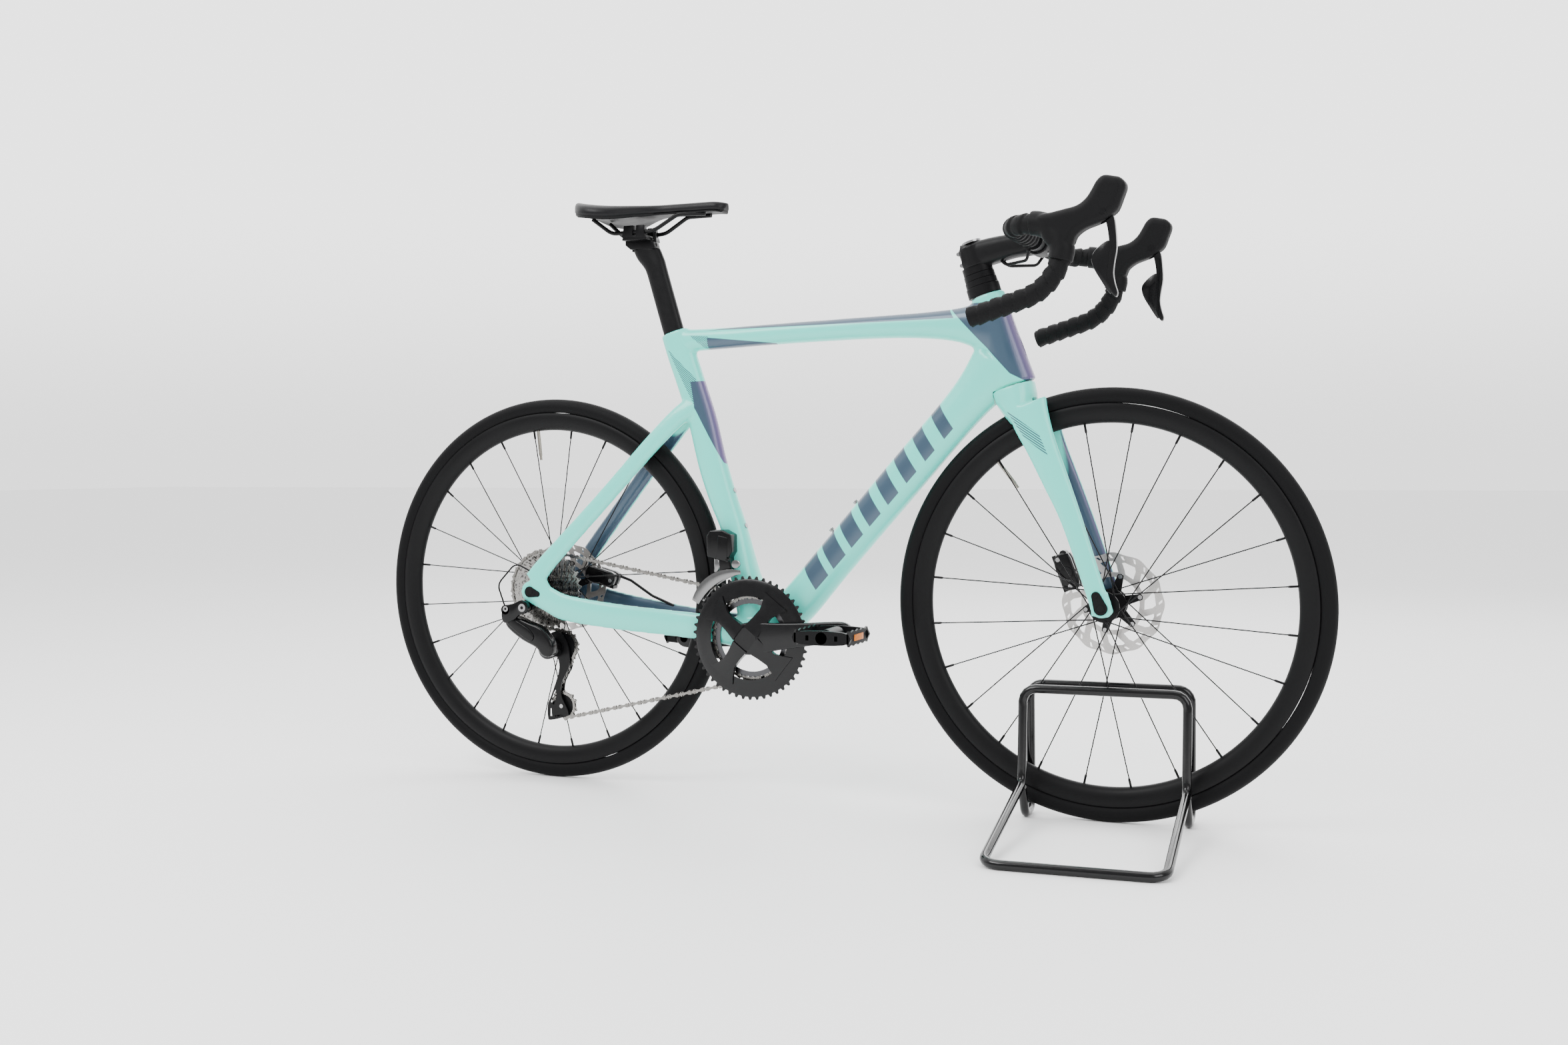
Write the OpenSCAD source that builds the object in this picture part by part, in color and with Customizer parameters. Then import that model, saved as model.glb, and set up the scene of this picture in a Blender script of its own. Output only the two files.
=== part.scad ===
// Drop-bar road bicycle with its front wheel held in a bent-tube floor stand.
// Millimetres. +X points forward, +Y to the rider's left, +Z up.
// The origin is on the floor, in the bicycle's mid-plane, halfway between the axles.

/* [Geometry] */
// Distance between the two wheel axles
wheelbase = 989; // [975:1:1010]
// Length of the chainstays, from bottom bracket to rear axle
chainstay = 408.7; // [405:0.1:415]
// Height of the axles above the bottom bracket
bb_drop = 68.6; // [64:0.1:74]
// Angle of the steering axis to the floor
head_angle = 73; // [72:0.1:74]
// Distance of the front axle ahead of the steering axis
fork_rake = 44; // [42:0.5:47]
// Length along the steering axis from the axle's foot to the crown race
crown_height = 371; // [368:1:376]
// Length of the head tube
head_tube_length = 152; // [130:1:175]
// Angle of the seatpost to the floor
seat_angle = 73.3; // [72.5:0.1:74]

/* [Wheels] */
// Outside diameter of the tyre
tyre_diameter = 676; // [672:1:680]
// Width of the tyre
tyre_width = 28; // [25:0.5:30]
// Thickness of the tyre's wall
tyre_wall = 2.4; // [1.5:0.1:3]
// Radial depth of the rim
rim_depth = 29; // [24:1:36]
// Width of the rim
rim_width = 25; // [22:0.5:26]
// Spokes in each wheel
spoke_count = 24; // [16:4:32]
// Diameter of a spoke
spoke_diameter = 1.8; // [1.4:0.1:2.2]
// Diameter of the brake rotors
rotor_diameter = 160; // [140:20:160]
// Thickness of the brake rotors
rotor_thickness = 1.8; // [1.6:0.1:2]
// Width between the fork ends
front_spacing = 100; // [100:1:100]
// Width between the rear dropouts
rear_spacing = 142; // [142:1:142]
// Diameter of both thru axles
axle_diameter = 12; // [10:0.5:14]

/* [Frame] */
// Depth of the down tube
down_tube_depth = 65; // [55:1:72]
// Width of the down tube
down_tube_width = 47; // [40:1:52]
// Depth of the top tube at mid-length
top_tube_depth = 34; // [28:1:40]
// Width of the top tube
top_tube_width = 36; // [28:1:42]
// Width of the seat tube
seat_tube_width = 32; // [29:1:38]
// Width of the bottom bracket shell
bb_shell_width = 86; // [84:1:90]
// Diameter of the steerer tube
steerer_diameter = 28.6; // [25.4:0.1:28.6]
// Depth of the seatpost's section, front to back
seatpost_depth = 38; // [34:0.5:40]
// Width of the seatpost's section
seatpost_width = 23; // [20:0.5:25]

/* [Cockpit] */
// Diameter of the handlebar at the stem
bar_clamp_diameter = 31.8; // [31.8:0.1:35]
// Diameter of the handlebar under the tape
bar_diameter = 23.8; // [22.2:0.1:24]
// Diameter over the wrapped tape
tape_diameter = 31; // [28:0.5:33]
// Width of the handlebar at the hoods, centre to centre
bar_width = 414; // [380:2:440]
// Forward reach of the handlebar's bends
bar_reach = 84; // [70:1:90]
// Drop of the handlebar's bends
bar_drop = 130; // [115:1:140]
// Length of the stem's spacer stack, with the headset cover
spacer_stack = 50; // [20:5:50]

/* [Saddle] */
// Length of the saddle
saddle_length = 282; // [250:1:290]
// Width of the saddle
saddle_width = 146; // [130:1:160]
// Distance between the saddle's rails
rail_spacing = 44; // [40:1:46]
// Diameter of the saddle's rails
rail_diameter = 7; // [7:0.5:8]

/* [Drivetrain] */
// Length of the crank arms
crank_length = 172.5; // [165:2.5:175]
// Crank arm's angle above level, in degrees
crank_angle = 6; // [0:1:10]
// Teeth on the big chainring
big_ring_teeth = 50; // [48:1:52]
// Teeth on the small chainring, which carries the chain
small_ring_teeth = 34; // [33:1:36]
// Teeth on the largest sprocket, which carries the chain
large_sprocket_teeth = 34; // [32:1:34]
// Teeth on the guide pulley
guide_teeth = 13; // [11:1:13]
// Teeth on the tension pulley
tension_teeth = 11; // [11:1:13]
// Diameter of the crank's axle
crank_axle_diameter = 24; // [22:0.5:25]
// Width of a pedal's platform, along its axle
pedal_width = 92; // [80:1:100]
// Length of a pedal's platform, front to back
pedal_length = 94; // [80:1:100]

/* [Stand] */
// Diameter of the stand's tube
stand_tube = 14; // [12:0.5:15]
// Width of the stand's hoops, centre to centre
stand_width = 250; // [240:1:280]
// Height of the top bars above the floor
stand_height = 215; // [200:1:230]
// Distance of the floor bar from the wheel's mid-plane
stand_reach = 342; // [280:1:360]
// Angle by which the stand is turned on the floor
stand_turn = 3; // [0:0.5:4]

/* [Fits] */
// Radial clearance of a shaft in its bearing
running = 0.05; // [0.02:0.01:0.1]
// Gap between pieces that move past each other
gap = 0.6; // [0.4:0.1:1]

/* [Hidden] */
celeste = [0.45, 0.86, 0.80];
black = [0.10, 0.10, 0.11];
dark = [0.18, 0.18, 0.19];
silver = [0.72, 0.72, 0.72];
tyre_r = tyre_diameter / 2;
axle_r = axle_diameter / 2;
rear_x = -wheelbase / 2;
front_x = wheelbase / 2;
axle_z = tyre_r;
bb_x = rear_x + sqrt(chainstay * chainstay - bb_drop * bb_drop);
bb_z = axle_z - bb_drop;
bb_r = 29;
cup_r = 20.5;
// Foot of the perpendicular from the front axle to the steering axis
foot_x = front_x - fork_rake * sin(head_angle);
foot_z = axle_z - fork_rake * cos(head_angle);
head_top = crown_height + head_tube_length;
steerer_r = steerer_diameter / 2;
bearing_r = 20.9;
crown_r = 34;
wheel_room = 5;
// Steering axis: a point at a height t along it
function steer_x(t) = foot_x - t * cos(head_angle);
function steer_z(t) = foot_z + t * sin(head_angle);
chain_pitch = 12.7;
function pitch_r(teeth) = chain_pitch / (2 * sin(180 / teeth));
small_r = pitch_r(small_ring_teeth);
big_r = pitch_r(big_ring_teeth);
sprocket_r = pitch_r(large_sprocket_teeth);
guide_r = pitch_r(guide_teeth);
tension_r = pitch_r(tension_teeth);
sprocket_y = -27;
sprocket_pitch = 3.45;
small_ring_y = -41;
big_ring_y = -47.2;
chain_half = 3.6;
// Pulleys, placed from the rear axle
guide_x = rear_x + 34.5;
guide_z = axle_z - 99;
tension_x = guide_x - 1;
tension_z = guide_z - 106;
knuckle_x = guide_x - 12;
knuckle_z = guide_z - 4;
link_x = rear_x - 37;
link_z = axle_z - 44;
dropout_y = rear_spacing / 2;
fork_end_y = front_spacing / 2;
stay_wall = 11;
front_rotor_y = 38.5;
rear_rotor_y = 45;
rotor_r = rotor_diameter / 2;
rim_outer = tyre_r - 26;
rim_inner = rim_outer - rim_depth;
tyre_mid = tyre_r - tyre_width / 2;
// Handlebar: clamp centre, and the route of one half from the middle outwards
bar_x = front_x - 109.5;
bar_z = axle_z + 565;
hood_y = bar_width / 2;
bar_r = bar_diameter / 2;
tape_r = tape_diameter / 2;
bar_route = [[bar_x, 0, bar_z, 0], [bar_x, -hood_y + 8, bar_z, 42],
    [bar_x + bar_reach, -hood_y - 2, bar_z + 1, 46],
    [bar_x + bar_reach - 4, -hood_y - 5, bar_z - 92, 78],
    [bar_x - 52, -hood_y - 8, bar_z - bar_drop - 2, 0]];
lever_x = bar_x + 141.5;
lever_z = bar_z + 8;
stem_low = head_top + spacer_stack;
post_top_x = rear_x + 205;
post_top_z = 932;
post_in = 100;
rail_z = 959;
saddle_rear_x = rear_x + 63;
post_lean = 90 - seat_angle;
pedal_y = 64 + pedal_width / 2 + 12;

// ---- helpers ----------------------------------------------------------------
function unit(v) = v / norm(v);
// Points of an arc that rounds the corner p1 between p0 and p2
function corner(p0, p1, p2, r, n) =
    let (u = unit(p0 - p1), v = unit(p2 - p1), inner = acos(u * v), turn = 180 - inner,
        reach = r / tan(inner / 2), c = p1 + unit(u + v) * r / sin(inner / 2),
        a = p1 + u * reach - c, b = p1 + v * reach - c)
    [for (i = [0 : n]) c + a * sin(turn * (1 - i / n)) / sin(turn)
        + b * sin(turn * i / n) / sin(turn)];
function xyz(p) = [p[0], p[1], p[2]];
// A route of [x, y, z, corner radius] with its corners rounded
function rounded(route, n = 6) = [for (i = [0 : len(route) - 1])
    each (i == 0 || i == len(route) - 1 || route[i][3] == 0) ? [xyz(route[i])]
        : corner(xyz(route[i - 1]), xyz(route[i]), xyz(route[i + 1]), route[i][3], n)];
// The same for a route that closes on itself
function rounded_loop(route, n = 6) = let (m = len(route)) [for (i = [0 : m - 1])
    each corner(xyz(route[(i + m - 1) % m]), xyz(route[i]), xyz(route[(i + 1) % m]),
        route[i][3], n)];
function mirrored(path) = [for (p = path) [p[0], -p[1], p[2]]];
function arc(c, y, r, from, to, n) = [for (i = [0 : n])
    let (a = from + (to - from) * i / n) [c[0] + r * cos(a), y, c[1] + r * sin(a)]];
// A round bar swept along a path; ref is never parallel to the path
module sweep(path, r, sides = 10, ref = [1, 1.4, 1], closed = false) {
    m = len(path);
    rings = [for (i = [0 : m - 1])
        let (before = closed ? path[(i + m - 1) % m] : path[max(i - 1, 0)],
            after = closed ? path[(i + 1) % m] : path[min(i + 1, m - 1)],
            t = unit(after - before), b = unit(cross(t, ref)), n = cross(b, t))
        [for (k = [0 : sides - 1]) path[i] + r * cos(360 * k / sides) * n
            + r * sin(360 * k / sides) * b]];
    last = closed ? m - 1 : m - 2;
    walls = [for (i = [0 : last]) for (k = [0 : sides - 1])
        [((i + 1) % m) * sides + k, ((i + 1) % m) * sides + (k + 1) % sides,
            i * sides + (k + 1) % sides, i * sides + k]];
    ends = closed ? [] : [[for (k = [0 : sides - 1]) k],
        [for (k = [sides - 1 : -1 : 0]) (m - 1) * sides + k]];
    polyhedron([for (ring = rings) each ring], concat(walls, ends));
}
// A hollow sleeve swept along an open path
module wrap(path, r, bore, sides = 12, ref = [1, 1.4, 1]) {
    m = len(path);
    rings = [for (i = [0 : m - 1])
        let (t = unit(path[min(i + 1, m - 1)] - path[max(i - 1, 0)]),
            b = unit(cross(t, ref)), n = cross(b, t))
        [for (q = [r, bore]) for (k = [0 : sides - 1])
            path[i] + q * cos(360 * k / sides) * n + q * sin(360 * k / sides) * b]];
    w = 2 * sides;
    outer = [for (i = [0 : m - 2]) for (k = [0 : sides - 1]) let (j = (k + 1) % sides)
        [(i + 1) * w + k, (i + 1) * w + j, i * w + j, i * w + k]];
    inner = [for (i = [0 : m - 2]) for (k = [0 : sides - 1]) let (j = (k + 1) % sides)
        [i * w + sides + k, i * w + sides + j, (i + 1) * w + sides + j,
            (i + 1) * w + sides + k]];
    ends = [for (k = [0 : sides - 1]) let (j = (k + 1) % sides, e = (m - 1) * w)
        each [[k, j, sides + j, sides + k], [e + sides + k, e + sides + j, e + j, e + k]]];
    polyhedron([for (ring = rings) each ring], concat(outer, inner, ends));
}
// Cylinder along Y from y0 to y1 at x, z
module across(x, z, r, y0, y1, fn = 48) {
    translate([x, y1, z]) rotate([90, 0, 0]) cylinder(h = y1 - y0, r = r, $fn = fn);
}
// A 2D outline in X and Z, extruded from y0 to y1
module plate(y0, y1) {
    translate([0, y1, 0]) rotate([90, 0, 0]) linear_extrude(y1 - y0) children();
}
// One thin oval slice of a frame tube: [x, y, z, angle of tube, depth, width]
module slice(s) {
    translate([s[0], s[1], s[2]]) rotate([0, -s[3], 0]) scale([1, s[5] / 2, s[4] / 2])
        rotate([0, 90, 0]) cylinder(h = 2, r = 1, $fn = 16, center = true);
}
module limb(slices) {
    for (i = [0 : len(slices) - 2]) hull() {
        slice(slices[i]);
        slice(slices[i + 1]);
    }
}
module at_steerer(t) {
    translate([steer_x(t), 0, steer_z(t)]) rotate([0, head_angle - 90, 0]) children();
}
module left_and_right() {
    children();
    mirror([0, 1, 0]) children();
}

// ---- frame ------------------------------------------------------------------
seat_top_x = post_top_x + 36.5;
seat_top_z = 789;
// The post's section, centred on its axis, which starts at the top of the frame
module post_prism(from, to, grow) {
    translate([seat_top_x, 0, seat_top_z]) rotate([0, -post_lean, 0])
        translate([0, 0, from]) linear_extrude(to - from)
            polygon([for (a = [0 : 12 : 348]) [(seatpost_depth / 2 + grow) * cos(a),
                (seatpost_width / 2 + grow) * sin(a)]]);
}
dt_angle = 48.2;
dt_top = [steer_x(crown_height + 24) - 16, 0, steer_z(crown_height + 24) + 8];
function dt_point(s) = [dt_top[0] + (bb_x + 10 - dt_top[0]) * s, 0,
    dt_top[2] + (bb_z + 2 - dt_top[2]) * s];
function dt_slice(s, depth, width) = let (p = dt_point(s)) [p[0], p[1], p[2], dt_angle,
    depth, width];
bottle_seat = [[bb_x - 48.7, bb_z + 245], [bb_x - 28, bb_z + 185]];
bottle_down = [dt_point(0.545), dt_point(0.65)];
module frame_outside() {
    ht = [steer_x(head_top - 40), 0, steer_z(head_top - 40)];
    limb([[seat_top_x + 8, 0, 771, 2, top_tube_depth + 3, top_tube_width - 8],
        [-110, 0, 775, 2, top_tube_depth, top_tube_width],
        [168, 0, 781, 2, top_tube_depth + 5, top_tube_width + 2],
        [ht[0] - 30, 0, ht[2] - 4, 6, 64, top_tube_width + 6],
        [ht[0], 0, ht[2] - 6, 12, 70, top_tube_width + 9]]);
    limb([dt_slice(0, down_tube_depth + 22, down_tube_width),
        dt_slice(0.14, down_tube_depth + 1, down_tube_width + 1),
        dt_slice(0.55, down_tube_depth, down_tube_width + 3),
        dt_slice(0.86, down_tube_depth + 2, down_tube_width + 9),
        dt_slice(1, down_tube_depth + 2, bb_shell_width - 16)]);
    limb([[seat_top_x, 0, seat_top_z - 4, 107, seatpost_depth + 10, seat_tube_width - 2],
        [-217, 0, 690, 107, 49, seat_tube_width],
        [-198, 0, 632, 108, 50, seat_tube_width + 1],
        [-180, 0, 560, 109, 50, seat_tube_width + 2],
        [-160, 0, 500, 108, 47, seat_tube_width + 4],
        [-139, 0, 445, 107, 43, seat_tube_width + 8],
        [-119, 0, 368, 105, 48, seat_tube_width + 22],
        [bb_x - 2, 0, bb_z + 20, 100, 62, bb_shell_width - 12]]);
    at_steerer(crown_height) hull() {
        translate([5, 0, 0]) scale([33, 26, 1]) cylinder(h = 1, r = 1, $fn = 32);
        translate([2, 0, head_tube_length - 1]) scale([28, 24, 1])
            cylinder(h = 1, r = 1, $fn = 32);
    }
    across(bb_x, bb_z, bb_r, -bb_shell_width / 2, bb_shell_width / 2);
    left_and_right() {
        limb([[-214, -9, 658, 60, 34, 20], [-238, -17, 640, 52, 30, 18],
            [-282, -29, 594, 50, 28, 14], [-372, -46, 494, 48, 27, 14],
            [-462, -68, 394, 48, 31, 13], [-488, -76, 356, 50, 36, stay_wall]]);
        limb([[-484, -77, 334, -15, 44, stay_wall], [-425, -74, 311, -15, 44, 12],
            [-330, -57, 297, -9, 42, 14], [-232, -33, 287, -6, 42, 14],
            [-165, -29, 281, -5, 45, 16], [bb_x - 8, -26, bb_z + 4, 0, 50, 26]]);
    }
}
module dropout(side) {
    y0 = side < 0 ? -dropout_y - stay_wall : dropout_y;
    hull() {
        across(rear_x, axle_z, 19, y0, y0 + stay_wall, 32);
        across(-468, 352, 15, y0, y0 + stay_wall, 32);
        across(-468, 322, 12, y0, y0 + stay_wall, 32);
    }
    if (side < 0) hull() {
        across(rear_x, axle_z - 4, 12, y0, y0 + 8, 32);
        across(rear_x - 10, axle_z - 27, 9, y0, y0 + 8, 32);
    }
}
module frame() {
    color(celeste) difference() {
        union() {
            frame_outside();
            dropout(-1);
            dropout(1);
        }
        // Wheel, head tube, crown, bottom bracket, post and axle are cut out
        across(rear_x, axle_z, tyre_r + wheel_room, -19, 19, 96);
        at_steerer(crown_height - 80) cylinder(h = head_tube_length + 160,
            r = steerer_r + 1.2, $fn = 48);
        at_steerer(crown_height - 1) cylinder(h = 9, r = bearing_r + 0.02, $fn = 48);
        at_steerer(head_top - 8) cylinder(h = 10, r = bearing_r + 0.02, $fn = 48);
        at_steerer(crown_height - 60) cylinder(h = 60, r = crown_r + 5, $fn = 64);
        across(bb_x, bb_z, cup_r, -bb_shell_width, bb_shell_width);
        for (side = [-1, 1]) {
            translate([0, side * (dropout_y - 25), 0])
                across(rear_x, axle_z, 30, -25, 25);
            across(rear_x, axle_z, axle_r + 0.1, side < 0 ? -90 : 60, side < 0 ? -60 : 78);
        }
        across(rear_x - 10, axle_z - 27, 5.1, -90, -60);
        post_prism(-post_in - 42, 60, 0.35);
    }
}
module headset_bearings() {
    color(silver) for (t = [crown_height, head_top - 8]) at_steerer(t) difference() {
        cylinder(h = t == crown_height ? 8 : 7.5, r = bearing_r, $fn = 48);
        translate([0, 0, -1]) cylinder(h = 12, r = steerer_r + running, $fn = 48);
    }
}
module bottom_bracket_cups() {
    color(black) left_and_right() difference() {
        union() {
            across(bb_x, bb_z, cup_r, -bb_shell_width / 2, -bb_shell_width / 2 + 14);
            across(bb_x, bb_z, cup_r + 1.8, -bb_shell_width / 2 - 2, -bb_shell_width / 2);
        }
        across(bb_x, bb_z, crank_axle_diameter / 2 + running, -60, 0);
    }
}
module mech_hanger() {
    color(black) difference() {
        hull() {
            across(rear_x, axle_z, 13, -dropout_y + 0.3, -dropout_y + 4, 32);
            across(rear_x - 12, axle_z - 27, 9, -dropout_y + 0.3, -dropout_y + 4, 32);
        }
        across(rear_x, axle_z, axle_r + 0.1, -80, -60);
        across(rear_x - 12, axle_z - 27, 4.1, -80, -60);
    }
}
module bottle_bolt() {
    cylinder(h = 3, r = 4.5, $fn = 24);
    translate([0, 0, -9]) cylinder(h = 9, r = 2.5, $fn = 24);
}
module bottle_bolts() {
    color(silver) {
        for (p = bottle_seat) translate([p[0], 0, p[1]]) rotate([0, 72, 0])
            translate([0, 0, -0.6]) bottle_bolt();
        for (p = bottle_down) translate(p) rotate([0, dt_angle - 90, 0])
            translate([0, 0, down_tube_depth / 2 - 0.4]) bottle_bolt();
    }
}

// ---- seatpost and saddle ----------------------------------------------------
head_x = post_top_x + 4;
module seatpost() {
    color(dark) {
        post_prism(-post_in, 118, 0);
        hull() {
            post_prism(112, 118, 0);
            across(head_x - 12, post_top_z - 2, 10, -11, 11, 32);
            across(head_x + 2, post_top_z + 2, 8, -11, 11, 32);
        }
    }
}
module saddle_clamp() {
    y0 = rail_spacing / 2;
    color(black) {
        // Yoke that sits on the post's head
        hull() {
            across(head_x - 26, post_top_z + 14.5, 4, -13, 13, 32);
            across(head_x + 6, post_top_z + 14.5, 4, -13, 13, 32);
        }
        // Jaws below and above each rail
        left_and_right() difference() {
            union() {
                plate(-y0 - 6, -12.9) translate([head_x - 32, rail_z - 9])
                    square([46, 17]);
            }
            translate([head_x - 60, -y0, rail_z]) rotate([0, 90, 0])
                cylinder(h = 120, r = rail_diameter / 2 + 0.02, $fn = 24);
        }
        // Two bolts
        for (x = [head_x - 22, head_x + 4])
            translate([x, 0, post_top_z + 18.6]) cylinder(h = 16, r = 2.5, $fn = 24);
    }
}
rail_route = [[saddle_rear_x + 42, -30, rail_z + 25, 0],
    [saddle_rear_x + 72, -22, rail_z, 22], [saddle_rear_x + 152, -22, rail_z, 34],
    [saddle_rear_x + 196, -19, rail_z + 26, 22], [saddle_rear_x + 246, -12, rail_z + 24, 0]];
module saddle_rails() {
    color(dark) left_and_right() sweep(rounded(rail_route), rail_diameter / 2, 12, [0, 1, 0]);
}
// Half-width of the saddle at a share s of its length from the rear
function saddle_half(s) = saddle_width / 2 * (s < 0.2 ? sqrt(1 - pow((0.2 - s) / 0.22, 2))
    : s < 0.62 ? 0.26 + 0.74 * (0.5 + 0.5 * cos(180 * (s - 0.2) / 0.42)) : s < 0.94 ? 0.26
    : 0.26 * sqrt(1 - pow((s - 0.94) / 0.065, 2)));
function saddle_x(s) = saddle_rear_x + saddle_length * s;
// Height of the saddle's top along its middle
function saddle_top(s) = 1003 + 14 * pow(max(0, 0.35 - s) / 0.35, 2)
    - 9 * pow(max(0, s - 0.9) / 0.1, 2);
steps = 16;
// A closed shell between two heights under the saddle's outline
module saddle_layer(shrink, under, over) {
    pts = [for (i = [0 : steps]) let (s = 0.004 + 0.992 * i / steps, w = saddle_half(s) - shrink,
        z = saddle_top(s), x = saddle_x(s) + shrink * (i == 0 ? 1 : i == steps ? -1 : 0))
        each [[x, -w, z - under - 6], [x, -w * 0.86, z - over - 2.5], [x, 0, z - over],
            [x, w * 0.86, z - over - 2.5], [x, w, z - under - 6], [x, 0, z - under]]];
    walls = [for (i = [0 : steps - 1]) for (k = [0 : 5])
        [i * 6 + k, i * 6 + (k + 1) % 6, (i + 1) * 6 + (k + 1) % 6, (i + 1) * 6 + k]];
    polyhedron(pts, concat([[5, 4, 3, 2, 1, 0]], walls, [[for (k = [0 : 5]) steps * 6 + k]]));
}
module saddle_pad() {
    color(black) saddle_layer(0, 14, 0);
}
module saddle_shell() {
    color(dark) saddle_layer(2, 20, 14.6);
}

// ---- brakes, axles and hoses ------------------------------------------------
// A caliper as a block with a slot for the rotor; u is its long axis in degrees
module caliper(x, z, y, turn, foot) {
    difference() {
        translate([x, y, z]) rotate([0, -turn, 0]) union() {
            translate([0, 2, 0]) cube([62, 30, 26], center = true);
            translate([0, foot * 4, -14]) cube([70, 18, 10], center = true);
            translate([0, 17, 0]) rotate([-90, 0, 0]) cylinder(h = 4, r = 10, $fn = 32);
        }
        children();
    }
}
module rotor_slot(x, y) {
    across(x, axle_z, rotor_r + 2, y - rotor_thickness / 2 - gap, y + rotor_thickness / 2
        + gap, 96);
}
module front_caliper() {
    color(black) caliper(423, 387, front_rotor_y + 1, 110, 0) {
        rotor_slot(front_x, front_rotor_y);
        fork_solid();
    }
}
module rear_caliper() {
    color(black) caliper(-421, 359, rear_rotor_y + 1, 165, 0) {
        rotor_slot(rear_x, rear_rotor_y);
        frame_outside();
    }
}
hose_route = [[-388, 47, 360, 0], [-366, 50, 352, 14], [-322, 47, 326, 30],
    [-276, 41, 310, 0]];
module rear_brake_hose() {
    color(black) difference() {
        sweep(rounded(hose_route), 2.5, 8, [0, 0.3, 1]);
        frame_outside();
        rear_caliper();
    }
}
wire_route = [[-494, -75, 370, 0], [-522, -84, 384, 14], [-552, -89, 350, 18],
    [-548, -88, 308, 0]];
module mech_wire() {
    color(black) difference() {
        sweep(rounded(wire_route), 1.3, 8, [0, 1, 0]);
        frame_outside();
        rear_mech_base();
    }
}
module thru_axle(x, half, wall, head_turn, big, small, reach) {
    across(x, axle_z, axle_r, -half - wall + 2, half + wall - 3, 48);
    // Teardrop cover on the drive side with its small screw
    plate(-half - wall - 2.5, -half - wall + 0) translate([x, axle_z]) rotate(head_turn)
        hull() {
            circle(r = big, $fn = 32);
            translate([reach, 0]) circle(r = small, $fn = 32);
        }
    across(x, axle_z, axle_r, -half - wall, -half - wall + 3, 48);
}
module front_axle() {
    color(black) thru_axle(front_x, fork_end_y, 10, 111, 10.5, 7, 20);
}
module rear_axle() {
    color(black) thru_axle(rear_x, dropout_y, stay_wall, -12, 9.5, 5, 16);
}

// ---- wheels -----------------------------------------------------------------
module ring_about_axle(x) {
    translate([x, 0, axle_z]) rotate([90, 0, 0]) rotate_extrude($fn = 128) children();
}
module tyre(x) {
    color(black) ring_about_axle(x) difference() {
        translate([tyre_mid, 0]) circle(d = tyre_width, $fn = 40);
        translate([tyre_mid, 0]) circle(d = tyre_width - 2 * tyre_wall, $fn = 40);
        translate([rim_outer - 50, -50]) square([50, 100]);
    }
}
module rim(x) {
    w = rim_width / 2;
    color(dark) ring_about_axle(x) difference() {
        polygon([[rim_outer, -w], [rim_outer, w], [rim_outer - 9, w + 0.4],
            [rim_inner + 9, w - 2.6], [rim_inner + 2, 6], [rim_inner, 3], [rim_inner, -3],
            [rim_inner + 2, -6], [rim_inner + 9, 2.6 - w], [rim_outer - 9, -w - 0.4]]);
        polygon([[rim_outer - 6, -w + 2.6], [rim_outer - 6, w - 2.6], [rim_inner + 9, w - 5],
            [rim_inner + 3, 3], [rim_inner + 3, -3], [rim_inner + 9, 5 - w]]);
    }
}
flange_r = 21;
// Spoke from a flange to the rim; cross turns its hub end along the flange
module spoke(angle, cross, flange_y, rim_y) {
    a = [flange_r * cos(angle + cross), flange_y, flange_r * sin(angle + cross)];
    b = [(rim_inner + 2) * cos(angle), rim_y, (rim_inner + 2) * sin(angle)];
    d = b - a;
    len = norm(d);
    translate(a) rotate([0, acos(d[2] / len), atan2(d[1], d[0])]) {
        cylinder(h = len, r = spoke_diameter / 2, $fn = 16);
        translate([0, 0, len - 15]) cylinder(h = 15, r = 1.9, $fn = 16);
    }
}
module wheel_spokes(x, right_y, left_y) {
    color(black) translate([x, 0, axle_z]) for (i = [0 : spoke_count - 1]) {
        left = i % 2 == 1;
        lean = floor(i / 2) % 2 == 0 ? 1 : -1;
        spoke(360 * (i + 0.5) / spoke_count, lean * 62, (left ? left_y : right_y) + lean * 1.9,
            left ? 2.5 : -2.5);
    }
}
module hub_shell(x, right_y, left_y, ends_right, ends_left, centre_lock) {
    difference() {
        union() {
            across(x, axle_z, 13, right_y, left_y);
            for (y = [right_y, left_y]) across(x, axle_z, flange_r + 3, y - 1.6, y + 1.6);
            across(x, axle_z, 16, left_y, centre_lock - 1.2);
            across(x, axle_z, 10.5, -ends_right, right_y);
            across(x, axle_z, 10.5, left_y, ends_left);
        }
        across(x, axle_z, axle_r + running, -90, 90);
    }
}
module front_hub() {
    color(black) hub_shell(front_x, -34, 24, fork_end_y - gap, fork_end_y - gap,
        front_rotor_y);
}
module rear_hub() {
    color(black) hub_shell(rear_x, -19.5, 31, 22, dropout_y - gap, rear_rotor_y);
}
// Vented disc on a carrier with six arms
module rotor(x, y) {
    color(silver) plate(y - rotor_thickness / 2, y + rotor_thickness / 2)
        translate([x, axle_z]) difference() {
            union() {
                circle(r = rotor_r - 1.5, $fn = 96);
                for (a = [0 : 30 : 330]) rotate(a) translate([rotor_r - 8, 0])
                    circle(r = 8, $fn = 32);
            }
            circle(r = 14, $fn = 48);
            for (a = [0 : 60 : 300]) rotate(a + 30) hull() {
                translate([29, 0]) circle(r = 6, $fn = 24);
                translate([50, 0]) circle(r = 10, $fn = 24);
            }
            for (a = [0 : 15 : 345]) rotate(a) translate([71, a % 30 == 0 ? 2 : -2])
                circle(r = 3, $fn = 16);
        }
    color(black) across(x, axle_z, 19, y + rotor_thickness / 2, y + rotor_thickness / 2 + 2.5);
}
module bored_rotor(x, y) {
    difference() {
        rotor(x, y);
        across(x, axle_z, 14, y - 5, y + 8);
    }
}
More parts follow.
